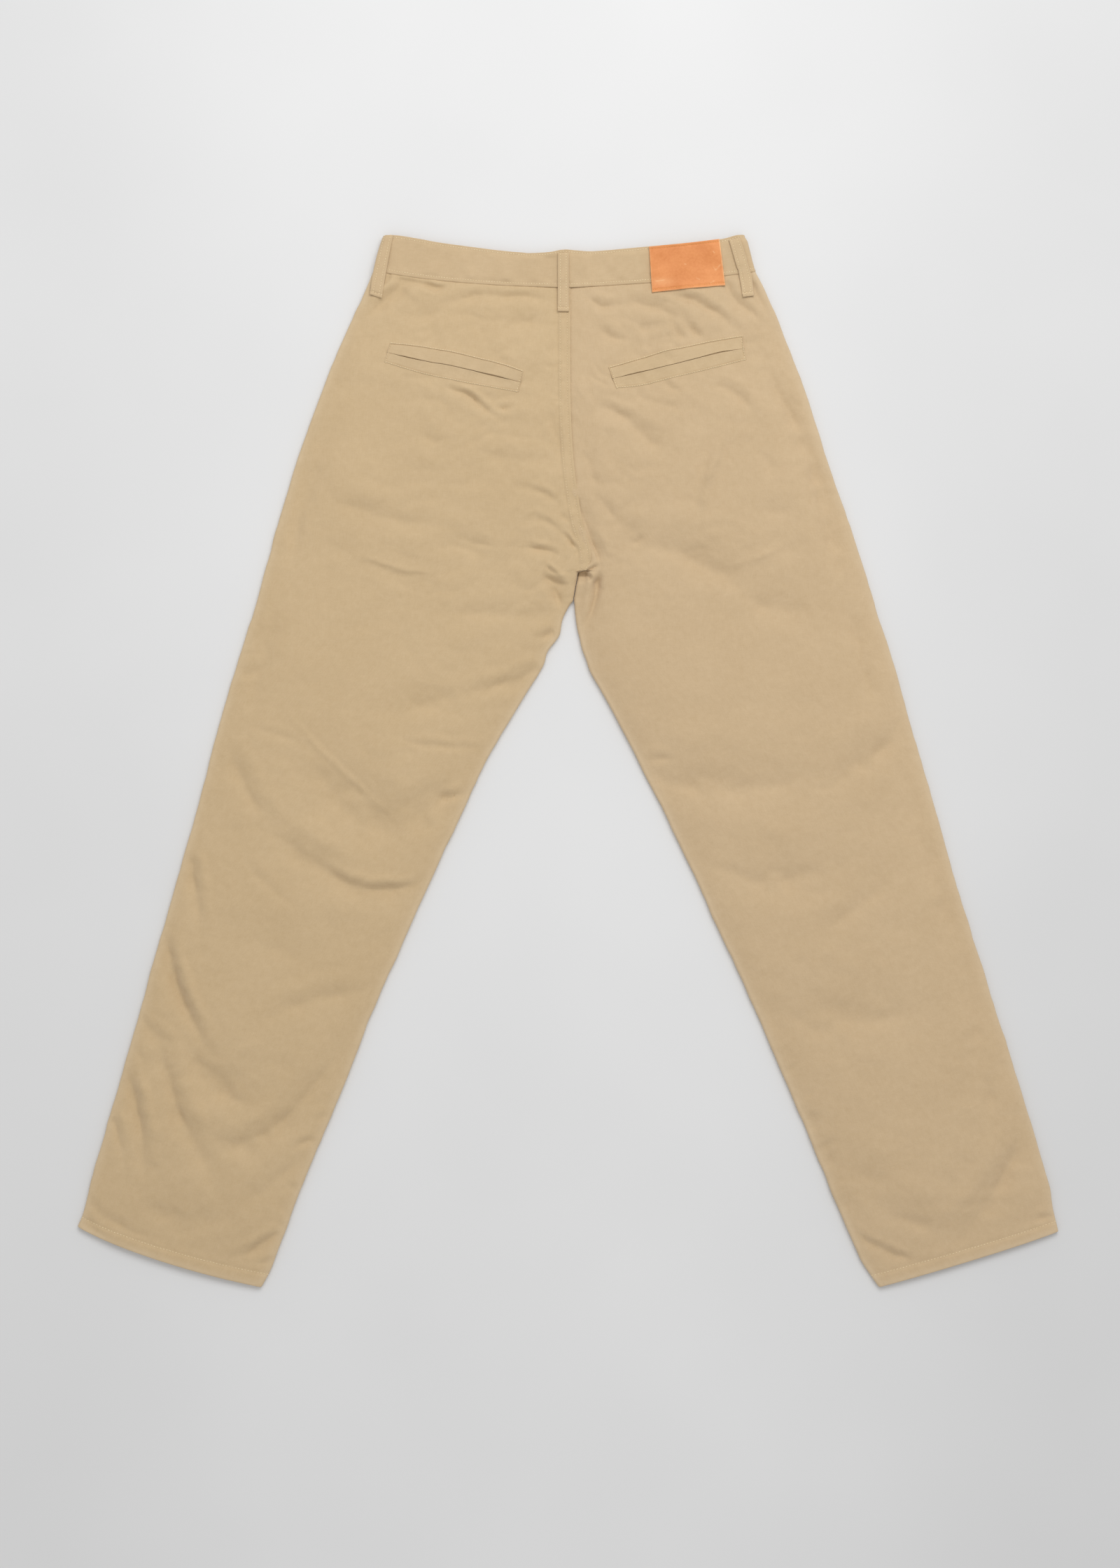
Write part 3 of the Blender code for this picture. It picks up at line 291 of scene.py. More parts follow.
# back pockets: the sewn upper edge, the slit and the sewn lower edge, left to right
POCKETS = {
    "left": (
        ((-180.4, 427.0), (-155.2, 424.1), (-119.9, 418.3), (-94.7, 412.3), (-69.5, 406.2), (-47.9, 398.7)),
        (
            (-183.2, 417.6), (-160.2, 411.8), (-138.9, 407.6), (-124.9, 405.3),
            (-104.5, 400.9), (-79.3, 395.1), (-51.0, 388.2),
        ),
        ((-185.9, 408.9), (-165.2, 402.2), (-145.1, 396.6), (-114.8, 390.2), (-84.4, 384.5), (-53.4, 379.2)),
    ),
    "right": (
        ((44.5, 402.8), (75.2, 411.9), (98.6, 419.0), (120.8, 423.5), (146.0, 429.1), (176.3, 434.2)),
        ((47.9, 391.8), (75.2, 398.3), (101.6, 404.6), (125.9, 410.7), (151.1, 417.2), (160.2, 419.3), (178.5, 422.0)),
        ((50.8, 383.0), (75.2, 385.6), (105.6, 393.2), (135.9, 400.3), (156.2, 405.4), (180.4, 411.9)),
    ),
}
FRAME = 2.0  # width of the cloth's folded edge round a pocket
MOUTH_DEPTH = 1.35  # how far the cloth sinks under a slit
PATCH_CORNERS = ((82.9, 527.0), (155.2, 535.0), (161.2, 487.4), (86.1, 479.9))
LOOP_EDGES = {
    "centre": (((-10.6, 520.8), (-10.7, 460.6)), ((0.9, 521.0), (0.9, 460.4))),
    "right": (
        ((164.7, 534.0), (172.3, 507.8), (174.8, 500.7), (178.9, 475.0)),
        ((175.8, 536.2), (180.9, 522.0), (185.4, 505.8), (188.5, 495.6), (190.4, 476.5)),
    ),
}
POCKET_ROW = 0.85  # stitch rows, over and under the sewn edges
POCKET_ROW_END = 0.9  # and past their ends


def curve_at(points, places):
    """Smooth curve through the given points, read at fractional places: 1.5 is halfway from the second to the third."""
    points = np.array(points, float).reshape(len(points), -1)
    knots = np.vstack([2 * points[0] - points[1], points, 2 * points[-1] - points[-2]])
    i = np.clip(np.floor(places).astype(int), 0, len(points) - 2)
    t = (places - i)[:, None]
    before, start, end, after = knots[i], knots[i + 1], knots[i + 2], knots[i + 3]
    cubic = 3 * start - before - 3 * end + after
    square = 2 * before - 5 * start + 4 * end - after
    return start + 0.5 * ((end - before) * t + square * t**2 + cubic * t**3)


def run_along(points, axis=0):
    """Length from the start to each point of a line, or of each line of a grid along one axis."""
    steps = np.linalg.norm(np.diff(points, axis=axis), axis=-1)
    return np.cumsum(np.insert(steps, 0, 0, axis=axis), axis=axis)


def along_line(points, shares):
    """Points at shares of a polyline's length, smoothed through its corners."""
    fine = curve_at(points, np.linspace(0, len(points) - 1, 40 * (len(points) - 1) + 1))
    run = run_along(fine)
    return np.column_stack([np.interp(np.asarray(shares) * run[-1], run, column) for column in fine.T])


def ease(value):
    """0 below 0, 1 above 1, and an even rise between."""
    value = np.clip(value, 0.0, 1.0)
    return value * value * (3 - 2 * value)


def bell(value, width):
    """1 at 0, falling away on both sides within about this width."""
    return np.exp(-((value / width) ** 2))


LATTICE = 97  # cells each way before the swell repeats


def wander(x, y, size, seed):
    """Soft swell from -1 to 1 whose patches are about this size across."""
    lattice = np.random.default_rng(seed).uniform(-1, 1, (LATTICE, LATTICE))
    u, v = np.asarray(x) / size + 1000.0, np.asarray(y) / size + 1000.0
    i, j = np.floor(u).astype(int), np.floor(v).astype(int)
    s, t = ease(u - i), ease(v - j)
    i, j = i % LATTICE, j % LATTICE
    k, m = (i + 1) % LATTICE, (j + 1) % LATTICE
    near = lattice[i, j] * (1 - s) + lattice[k, j] * s
    far = lattice[i, m] * (1 - s) + lattice[k, m] * s
    return near * (1 - t) + far * t


def puffs(x, y, size, seed):
    """Puffs about this size across, from -1 to 1, with a fine crease between each two."""
    return 2.6 * np.sqrt(wander(x, y, size, seed) ** 2 + 0.004) - 0.9


def crumple(x, y, leg):
    """The unevenness of a cloth that has been in use, washed and smoothed by hand."""
    seed, slant = (101, 0.6) if leg == "left" else (201, -0.6)
    u = x + 7 * wander(x, y, 37, seed) + 2.5 * wander(x, y, 12, seed + 1)
    v = y + 7 * wander(x, y, 37, seed + 2) + 2.5 * wander(x, y, 12, seed + 3)
    rumpled = 0.35 + sum(r.more * bell(np.hypot(x - r.x, y - r.y), r.reach) for r in RUMPLES[leg])
    along, across = 0.8 * u + slant * v, 0.8 * v - slant * u
    broad = 0.85 * wander(x, y, 70, seed + 4) + 0.45 * wander(along, across * 1.6, 38, seed + 5)
    fine = 0.34 * puffs(u * 0.55, v, 21, seed + 6) + 0.19 * puffs(along * 0.6, across, 11, seed + 7)
    return broad + rumpled * (fine + 0.09 * wander(u, v, 6, seed + 8))


def crease_depth(x, y, leg):
    """How far the folds of one leg lower the cloth at each point."""
    seed = 501 if leg == "left" else 601
    x = x + 1.6 * wander(x, y, 17, seed) + 0.7 * wander(x, y, 7, seed + 1)
    y = y + 1.6 * wander(x, y, 17, seed + 2) + 0.7 * wander(x, y, 7, seed + 3)
    uneven = 1 + 0.4 * wander(x, y, 14, seed + 4)
    steps = np.linspace(0, 1, CREASE_STEPS + 1)[:, None]
    depth = np.zeros(x.shape)
    for fold in FOLDS[leg]:
        start, middle, end = np.array([(fold.x0, fold.y0), (fold.xm, fold.ym), (fold.x1, fold.y1)], float)
        pull = 2 * middle - 0.5 * (start + end)
        curve = (1 - steps) ** 2 * start + 2 * steps * (1 - steps) * pull + steps**2 * end
        reach = CREASE_REACH * fold.half_width
        low, high = curve.min(axis=0) - reach, curve.max(axis=0) + reach
        near = (x > low[0]) & (x < high[0]) & (y > low[1]) & (y < high[1])
        px, py = x[near], y[near]
        nearest = np.full(px.shape, np.inf)
        along, beside = np.zeros(px.shape), np.zeros(px.shape)
        for k in range(CREASE_STEPS):
            run = curve[k + 1] - curve[k]
            t = np.clip(((px - curve[k][0]) * run[0] + (py - curve[k][1]) * run[1]) / (run @ run), 0, 1)
            dx, dy = px - curve[k][0] - t * run[0], py - curve[k][1] - t * run[1]
            away = np.hypot(dx, dy)
            closer = away < nearest
            nearest = np.where(closer, away, nearest)
            along = np.where(closer, (k + t) / CREASE_STEPS, along)
            beside = np.where(closer, np.sign(dy), beside)
        q = nearest / (fold.half_width * (1 - 0.75 * fold.lean * beside))
        ends = np.minimum(along / max(fold.peak, 0.02), (1 - along) / max(1 - fold.peak, 0.02))
        valley = 0.55 * bell(q, 1) + 0.45 / (1 + (1.5 * q) ** 2) ** 1.5
        profile = (valley - (0.22 + 0.12 * beside) * bell(q - 2.3, 1)) * ease((CREASE_REACH - q) / 1.5)
        depth[near] += fold.depth * (0.12 + 0.88 * ease(1.15 * ends)) * profile * uneven[near]
    return depth


def row_distances(total):
    """Rows down a leg: closer together at the band, the pocket, the crotch and the hem."""
    ends = [start for start, _ in ROW_STRETCHES[1:]] + [total - HEM_STRETCH]
    rows = [np.arange(start, end - 0.5 * step, step) for (start, step), end in zip(ROW_STRETCHES, ends)]
    rows = np.concatenate([*rows, np.linspace(total - HEM_STRETCH, total, 15)])
    return rows if len(rows) % 2 else np.delete(rows, 30)


def leg_shape(leg):
    """Ends, edge height, crown, turn, bow and lift of every row of one leg, as columns of numbers."""
    outer_points, inner_points = ([getattr(section, leg + end) for section in SECTIONS] for end in ("_out", "_in"))
    places = np.linspace(0, len(SECTIONS) - 1, 3000)
    run = run_along(curve_at(outer_points, places))
    down = row_distances(run[-1])
    place = np.interp(down, run, places)
    outer = curve_at(outer_points, place)
    seam = curve_at(inner_points[: LEGS_PART + 1], np.minimum(place, LEGS_PART))
    fold = curve_at(inner_points[LEGS_PART:], np.maximum(place - LEGS_PART, 0))
    inner = np.where((place <= LEGS_PART)[:, None], seam, fold)
    side, seed = (1, 11) if leg == "left" else (-1, 12)
    ripple = side * ease((down - 10) / 30) * ease((run[-1] - down) / 25)
    outer[:, 0] += ripple * (0.5 * wander(down, 0, 26, seed) + 0.25 * wander(down, 9, 9, seed))
    ripple = ripple * ease((place - LEGS_PART - 0.5) / 1.5)
    inner[:, 0] -= ripple * (0.5 + 0.6 * wander(down, 0, 21, seed + 7) + 0.3 * wander(down, 9, 8, seed + 7))
    full = np.linalg.norm(inner - outer, axis=1) - MIDDLE_GAP
    # under its end the seam's strip stands out over the line where the legs touch
    inner_y = inner[:, 1]
    under = ease((SEAM_END_Y - inner_y) / SEAM_END_STEP) * ease((inner_y - 160) / 7)
    inner[:, 0] += (np.interp(inner_y, *TOUCH_LINE) - inner[:, 0]) * under
    span = np.linalg.norm(inner - outer, axis=1)
    edge, crown, turn, bow = (
        np.interp(place, range(len(SECTIONS)), [getattr(section, name) for section in SECTIONS])
        for name in ("edge", "crown", "turn", leg + "_bow")
    )
    return SimpleNamespace(
        leg=leg, side=side, down=down, to_hem=run[-1] - down, outer=outer, full=full, width=span - MIDDLE_GAP,
        inner=outer + (inner - outer) * ((span - MIDDLE_GAP) / span)[:, None],
        edge=edge, crown=crown, turn=turn, bow=bow,
        lift=BAND_LIFT * (1 - ease((down - LIFT_HOLDS) / (LIFT_ENDS - LIFT_HOLDS))),
        seam_end=4.5 * ease((SEAM_END_Y + 16 - inner_y) / 16),
        seamed=ease((inner_y - SEAM_END_Y + SEAM_END_STEP) / SEAM_END_STEP),
        roll=np.maximum(turn, 0.55 * ease((SEAM_END_Y - inner_y) / 2.5)),
    )


def rows_of(shape, keep):
    """The same shape with only some of its rows."""
    return SimpleNamespace(**{key: v if np.isscalar(v) else v[keep] for key, v in vars(shape).items()})


def bowed(bow, share):
    """How far a row's bow moves a point at this share of the way across."""
    skewed = np.clip(share, 0, 1) ** 0.8
    return bow * 4 * skewed * (1 - skewed)


def plan(shape, distance):
    """Points on the rows seen from above, at distances from the outer end: one row of distances for each row."""
    share = distance / shape.width[:, None]
    point = shape.outer[:, None] + (shape.inner - shape.outer)[:, None] * share[..., None]
    point[..., 1] -= bowed(shape.bow[:, None], share)
    return point


def cloth_wall(shape):
    """How thick the cloth is on every row, with the turned-in hem."""
    return (CLOTH + (HEM_CLOTH - CLOTH) * ease((HEM_DEPTH - shape.to_hem) / 1.5))[:, None]


def hollow_under_seam(x, y):
    """How far the right leg's cloth sinks in the small dark mouth under the end of the seam's strip."""
    across = np.exp(-(((x - 14.2) / 5.6) ** 6))
    return 6.9 * across * ease((SEAM_END_Y + 0.3 - y) / 1.2) * (0.55 * ease((y - 180) / 8) + 0.45 * ease((y - 188) / 3))


def back_height(shape, distance):
    """Height of a back panel's face over the surface, without its rolled edges."""
    leg = shape.leg
    x, y = np.moveaxis(plan(shape, distance), -1, 0)
    down, to_hem, width, full, turn, seamed, edge, crown = (
        getattr(shape, name)[:, None] for name in "down to_hem width full turn seamed edge crown".split()
    )
    from_edge = np.maximum(distance - FOLD_RADIUS, 0)
    to_fold = np.maximum(width - FOLD_RADIUS - distance, 0)
    rise = 1 - np.exp(-(from_edge**2) / (CROWN_REACH * (from_edge + 4)))
    rise = rise * (1 - turn * np.exp(-(to_fold**2) / (CROWN_REACH * (to_fold + 4))))
    to_seam = width - distance
    dip = (1 - turn) * SEAM_DIP * bell(full - distance, SEAM_DIP_REACH)
    calm = ease(from_edge / 12) * (1 - turn * (1 - ease(to_fold / 12)))
    folds = crease_depth(x, y, leg) * (0.45 + 0.55 * calm)
    swell = crumple(x, y, leg) * (0.25 + 0.75 * calm) * np.minimum(1, crown / 5)
    relief = 1 + 0.5 * ease((y - 120) / 280)
    uneven = relief * (swell - folds) * (0.25 + 0.75 * ease(down / 9))
    # along the seat seam both panels swell alike, so that neither cuts through the other
    together = seamed * bell(np.maximum(to_seam, 0), 9) * ease((y - 268) / 35)
    uneven += (0.5 * crumple(x, y, "left") - uneven) * together
    height = edge + crown * rise - dip + uneven
    height = LEAST_HEIGHT + np.log1p(np.exp((height - LEAST_HEIGHT) * HEIGHT_KNEE)) / HEIGHT_KNEE
    if leg == "left":
        row_a, row_b = SEAM_ROWS
        to_row = to_seam + shape.seam_end[:, None]
        strip = ease((row_b + 2.4 - to_row) / 2.0)
        sewn = bell(to_row - row_a, 0.9) + bell(to_row - row_b, 0.9)
        pucker = wander(down, to_row * 0.4, 3.4, 31) * bell(to_row - row_b - 1, 5)
        height += seamed * (SEAM_LAP * strip - 0.42 * sewn - 0.3 * bell(to_row - row_b - 3.4, 1.5) + 0.36 * pucker)
        tick, tick_seed, to_seam = 1.2, 37, to_row
    else:
        height = np.minimum(height, np.maximum(height - hollow_under_seam(x, y), 2.3))
        pucker = wander(down, to_seam * 0.3, 4.2, 33) * bell(to_seam, 6)
        height += seamed * (0.2 * pucker - 0.32 * bell(to_seam, 1.8))
        tick, tick_seed = 2.2, 38
    low_leg = ease((-280 - y) / 60) * ease((to_hem - 20) / 15)
    ticks = np.maximum(wander(down + 0.35 * to_seam, to_seam * 0.2, 7, tick_seed), 0)
    height -= tick * low_leg * ticks * bell(width - distance - 11, 9)
    hem_pull = wander(distance, 0, 5, 35) * bell(to_hem - HEM_ROW, 5)
    height += -0.5 * bell(to_hem - HEM_ROW, 1.1) + 0.4 * hem_pull + 0.45 * ease((HEM_ROW - to_hem) / 3)
    return height - 0.35 * np.clip(1 - down / 1.7, 0, 1)


def under_mouths(x, y, leg):
    """How far the cloth sinks under a pocket's slit."""
    spots = along_line(POCKETS[leg][1], np.linspace(0, 1, 60))
    depth = np.zeros(x.shape)
    near = (x > spots[:, 0].min() - 6) & (x < spots[:, 0].max() + 6) & (y > 370) & (y < 440)
    away = np.full(near.sum(), np.inf)
    for spot in spots:
        away = np.minimum(away, np.hypot(x[near] - spot[0], y[near] - spot[1]))
    depth[near] = MOUTH_DEPTH * bell(away, 2.6)
    return depth


def fold_path(top, arcs):
    """Points round a folded edge at lengths past its start: in from the edge, and height."""
    angle = np.clip(arcs / FOLD_RADIUS, 0, math.pi)
    inward = FOLD_RADIUS * (1 - np.sin(angle)) + np.maximum(arcs - math.pi * FOLD_RADIUS, 0)
    return inward, top * (1 + np.cos(angle)) / 2


def offset_inward(across, height, wall):
    """The inner side of a wall whose outer side runs over the top from the outer fold to the inner one."""
    line = np.stack([across, height])
    run, climb = np.diff(line, axis=2)
    normal = np.stack([climb, -run]) / (np.hypot(run, climb) + 1e-9)
    before = np.concatenate([normal[..., :1], normal], axis=2)
    middle = before + np.concatenate([normal, normal[..., -1:]], axis=2)
    middle = middle / (np.hypot(*middle) + 1e-9)
    return line + middle * wall / np.maximum((middle * before).sum(axis=0), 0.85)


def lowest_near(height, reach):
    """Each height replaced by the lowest one around it."""
    rows, columns = height.shape
    for _ in range(reach):
        wide = np.pad(height, 1, mode="edge")
        height = np.min([wide[a : a + rows, b : b + columns] for a in range(3) for b in range(3)], axis=0)
    return height


def spread_out(count, picks):
    """Evenly spread places among a count of them, from the first to the last."""
    return np.round(np.linspace(0, count - 1, picks)).astype(int)


def tucked(grid):
    """A grid with one more row at its start, which runs on under the band and slopes down to it."""
    row = grid[:1] + (0, TUCK, 0)
    row[..., 2] -= 1.3 * ease((row[..., 2] - 3.2) / 2)
    return np.vstack([row, grid])


SHAPES = {leg: leg_shape(leg) for leg in LEGS}
TAIL_STEPS, ROLL_STEPS, FACE_STEPS, STRIP_STEPS, INNER_STEPS = 4, 9, 107, 24, 14


def back_panel(leg):
    """Face and lining grids of a back panel."""
    shape = SHAPES[leg]
    width, full, turn = (column[:, None] for column in (shape.width, shape.full, shape.roll))
    share = np.linspace(0, 1, FACE_STEPS)
    share = share - 0.3 * np.sin(2 * math.pi * share) / (2 * math.pi)
    strip_start = full - SEAM_STRIP - CROTCH_STRIP * bell(shape.inner[:, 1:] - 178, 38)
    face = FOLD_RADIUS + (strip_start - FOLD_RADIUS) * share
    strip = strip_start + (width - FOLD_RADIUS - strip_start) * np.linspace(0, 1, STRIP_STEPS + 1)[1:]
    top = np.hstack([face, strip])
    top_height = back_height(shape, top) - under_mouths(*np.moveaxis(plan(shape, top), -1, 0), leg)
    top_height[:, 0] = 0.5 * (top_height[:, 0] + shape.edge)

    arcs = np.linspace(0, math.pi * FOLD_RADIUS, ROLL_STEPS + 1)[1:]
    arcs = np.concatenate([arcs, arcs[-1] + np.linspace(0, FOLD_UNDER, TAIL_STEPS + 1)[1:]])
    outer_x, outer_z = np.broadcast_arrays(*fold_path(top_height[:, :1], arcs[None]))
    turned_arcs = np.concatenate([arcs[:ROLL_STEPS], arcs[ROLL_STEPS] + np.linspace(0, INNER_UNDER, 5)])
    reach = FOLD_RADIUS + (SEAM_ALLOWANCE * shape.seamed[:, None] if leg == "right" else 0)
    along = (1 - turn) * np.linspace(0, 1, INNER_STEPS) * reach + turn * turned_arcs
    blend = ease(turn / 0.2)
    roll_in, roll_up = fold_path(top_height[:, -1:], along)
    flat_distance = width - FOLD_RADIUS + along
    flat_height = back_height(shape, flat_distance)
    if leg == "right":
        flat_height -= 0.3 * ease(np.maximum(flat_distance - width, 0) / 2)
    inner_x = (1 - blend) * flat_distance + blend * (width - roll_in)
    inner_z = (1 - blend) * flat_height + blend * roll_up

    across = np.hstack([outer_x[:, ::-1], top, inner_x])
    height = np.hstack([outer_z[:, ::-1], top_height, inner_z])
    wall = cloth_wall(shape)
    in_x, in_z = offset_inward(across, height, wall)
    in_top = slice(len(arcs), len(arcs) + top.shape[1])
    in_z[:, in_top] = np.maximum(lowest_near(in_z, 2)[:, in_top], 1.9)

    # rounded lip along the inner side, half the wall round
    angle = np.array([[math.pi / 4, math.pi / 2]])
    step_x, step_z = across[:, -1:] - across[:, -2:-1], height[:, -1:] - height[:, -2:-1]
    lip = wall / 2 / np.hypot(step_x, step_z)
    lip_x = across[:, -1:] + lip * (step_x * np.sin(angle) + step_z * (1 - np.cos(angle)))
    lip_z = height[:, -1:] + lip * (step_z * np.sin(angle) - step_x * (1 - np.cos(angle)))
    across, height = np.hstack([across, lip_x]), np.hstack([height, lip_z])
    lift = shape.lift[:, None]
    outer, inside = (tucked(np.dstack([plan(shape, a), b + lift])) for a, b in ((across, height), (in_x, in_z)))

    # the hem's rounded edge
    drop = outer[-1] - outer[-2]
    drop /= np.linalg.norm(drop, axis=1)[:, None]
    to_inside = inside[-1][spread_out(inside.shape[1], outer.shape[1])] - outer[-1]
    lips = [outer[-1] + drop * 0.9 * math.sin(a) + to_inside * 0.5 * (1 - math.cos(a)) for a in (0.8, math.pi / 2)]
    outer = np.vstack([outer, lips])
    outer = outer if outer.shape[0] % 2 else np.delete(outer, 20, axis=0)
    outer = outer if outer.shape[1] % 2 else np.delete(outer, 1, axis=1)
    rows, columns = (spread_out(count, (many + 1) // 2) for count, many in zip(inside.shape[:2], outer.shape))
    return outer, inside[rows][:, columns]


def cloth_place(grid):
    """Where each point of a grid lies on the flat cloth, in metres: across the rows and down them."""
    across = run_along(grid, 1)
    middle = across.shape[1] // 2
    down = run_along(grid).mean(axis=1, keepdims=True)
    return np.dstack(np.broadcast_arrays(across - across[:, middle : middle + 1], down)).reshape(-1, 2) * MM


def wall_between(outer, inner):
    """Closed wall between two grids of points; the inner grid has as many rows and columns, or every second one."""
    many = np.arange(outer[..., 0].size).reshape(outer.shape[:2])
    few = many.size + np.arange(inner[..., 0].size).reshape(inner.shape[:2])

    def cells(n):
        return np.stack([n[:-1, :-1], n[:-1, 1:], n[1:, 1:], n[1:, :-1]], axis=-1).reshape(-1, 4)

    faces = cells(many).tolist() + cells(few)[:, ::-1].tolist()
    borders = (
        (many[0], few[0], -1), (many[-1], few[-1], 1), (many[:, 0], few[:, 0], 1), (many[:, -1], few[:, -1], -1),
    )
    for line, back, way in borders:
        line, back = line.tolist(), back.tolist()
        for k in range(len(back) - 1):
            if len(line) == len(back):
                ring = [(line[k], line[k + 1], back[k + 1], back[k])]
            else:
                a, b, c = line[2 * k : 2 * k + 3]
                ring = [(a, b, back[k]), (b, back[k + 1], back[k]), (b, c, back[k + 1])]
            faces += [face[::way] for face in ring]
    points = np.vstack([outer.reshape(-1, 3), inner.reshape(-1, 3)])
    return points, faces, np.vstack([cloth_place(outer), cloth_place(inner)])


def tube_of(rings):
    """Closed skin round a stack of rings that run the same way round; its ends are closed flat."""
    rings = np.array(rings)
    count, size = rings.shape[:2]
    start = np.arange(count - 1)[:, None] * size
    a, b = start + np.arange(size), start + (np.arange(size) + 1) % size
    faces = np.stack([a, b, b + size, a + size], axis=-1).reshape(-1, 4).tolist()
    faces += [list(range(size))[::-1], list(range((count - 1) * size, count * size))]
    places = np.dstack(np.broadcast_arrays(run_along(rings, 1), run_along(rings.mean(axis=1))[:, None]))
    return rings.reshape(-1, 3), faces, places.reshape(-1, 2) * MM


# ---- front ----


def under_turn(shape):
    """How far in from the inner fold a back panel ends on the underside."""
    reach = (1 - shape.roll) * FOLD_RADIUS + shape.roll * (math.pi * FOLD_RADIUS + INNER_UNDER)
    return FOLD_RADIUS + np.maximum(reach - math.pi * FOLD_RADIUS, 0)


def pocket_slant(shape):
    """How far in from the side seam the slanted pocket cuts the front panel."""
    return POCKET_MOUTH * (1 - shape.down / POCKET_DROP)


def laid_flat(shape, spots, low, wall):
    """Face (the lower side) and lining grids of cloth that lies on the surface."""
    low = np.maximum(low, 0) + shape.lift[:, None]
    face, back = (np.dstack([spots, height])[:, ::-1] for height in (low, low + wall))
    return face, back[::2, ::2]


def front_panel(leg):
    """Face and lining grids of a front panel."""
    keep = np.arange(0, len(SHAPES[leg].down), 2)
    keep = keep if len(keep) % 2 else keep[:-1]
    keep[-1] = len(SHAPES[leg].down) - 1
    shape = rows_of(SHAPES[leg], keep)
    slant = pocket_slant(shape)
    start = (UNDERSIDE + np.where(slant >= LEAST_FACING, slant, 0))[:, None]
    reach = FLY_LAP * np.maximum(0, 1 - shape.down / FLY_LENGTH)
    rolled_end = shape.width - under_turn(shape) - SEAM_GAP
    end = np.where(shape.roll > 0, rolled_end, shape.width + shape.side * reach)[:, None]
    deep = np.where((reach > 0) & (leg == "right"), FLY_RECESS, 0.0)[:, None]
    distance = start + (end - start) * np.linspace(0, 1, 47)
    spots = plan(shape, distance)
    x, y = spots[..., 0], spots[..., 1]
    seed = 301 if leg == "left" else 401
    inside = np.minimum(distance - start, end - distance)
    creases = np.maximum(wander(0.5 * x + 0.85 * y, (0.85 * x - 0.5 * y) * 0.22, 17, seed), 0) ** 2
    creases += 0.7 * np.maximum(wander(0.86 * y - 0.5 * x, (0.86 * x + 0.5 * y) * 0.25, 21, seed + 1), 0) ** 2
    low = ease(inside / 12) * (0.25 + 0.25 * wander(x, y, 40, seed + 2) + 1.3 * creases)
    low += 0.35 * bell(shape.to_hem[:, None] - HEM_ROW, 1.4) + deep * ease(1 - (end - distance) / 12)
    return laid_flat(shape, spots, low + 0.3 * bell(inside, 1.5), cloth_wall(shape))


def facing(leg):
    """The facing that shows in a slanted side pocket, level with the side seam and under the pocket's edge."""
    keep = np.flatnonzero(pocket_slant(SHAPES[leg]) >= LEAST_FACING - 1.2)[::2]
    shape = rows_of(SHAPES[leg], keep if len(keep) % 2 else keep[:-1])
    slant = pocket_slant(shape)[:, None]
    distance = UNDERSIDE + (slant + 6.0) * np.linspace(0, 1, 15)
    behind = np.maximum(ease(1 - (UNDERSIDE + slant - 1.5 - distance) / 6), ease((LEAST_FACING + 1.0 - slant) / 1.2))
    low = (CLOTH + SEAM_GAP + 0.25) * behind + 0.15 * wander(distance, shape.down[:, None], 14, 77)
    return laid_flat(shape, plan(shape, distance), low, CLOTH)


# ---- waistband ----

halves = [plan(rows_of(SHAPES[leg], [0]), np.linspace(0, SHAPES[leg].width[0], 60)[None])[0] for leg in LEGS]
SEAM_X, SEAM_Y = np.vstack([halves[0], halves[1][::-1]]).T  # the seam under the band, side fold to side fold
EDGE = along_line(WAIST_EDGE, np.linspace(0, 1, 240))
BAND_CORNERS = {
    leg: (np.array(WAIST_EDGE[end]), np.array(getattr(SECTIONS[0], leg + "_out"))) for leg, end in zip(LEGS, (0, -1))
}
BAND_ENDS = {  # at the centre back and at the fly
    leg: (CENTRE_BACK_X - SHAPES[leg].side * SEAM_GAP / 2, FRONT_MIDDLE_X + FLY_LAP - SHAPES[leg].side * SEAM_GAP / 2)
    for leg in LEGS
}


def band_spot(leg, arc, share, out):
    """A point of the waistband: arc is how far past the roll, share how far down the band and out how far off its face.

    An arc below zero goes round the roll and on along the underside.
    """
    side = SHAPES[leg].side
    top, low = BAND_CORNERS[leg]
    corner = top[0] + (low[0] - top[0]) * share
    over, under = ((abs(end - corner) - BAND_RADIUS) / (abs(end - top[0]) - BAND_RADIUS) for end in BAND_ENDS[leg])
    angle = np.clip(-arc / BAND_RADIUS, 0, math.pi)
    past = np.maximum(-arc - BAND_ROLL, 0)
    reach = BAND_RADIUS - np.sin(angle) * (BAND_RADIUS + out) + np.maximum(arc, 0) * over + past * under
    z = BAND_RADIUS + np.cos(angle) * (BAND_RADIUS + out) + BAND_LIFT
    y_top = np.interp(top[0] + side * reach, *EDGE.T)
    y_low = np.interp(low[0] + side * reach, SEAM_X, SEAM_Y) + 0.2
    return np.stack([corner + side * reach, y_top + (y_low - y_top) * share, z], axis=-1)


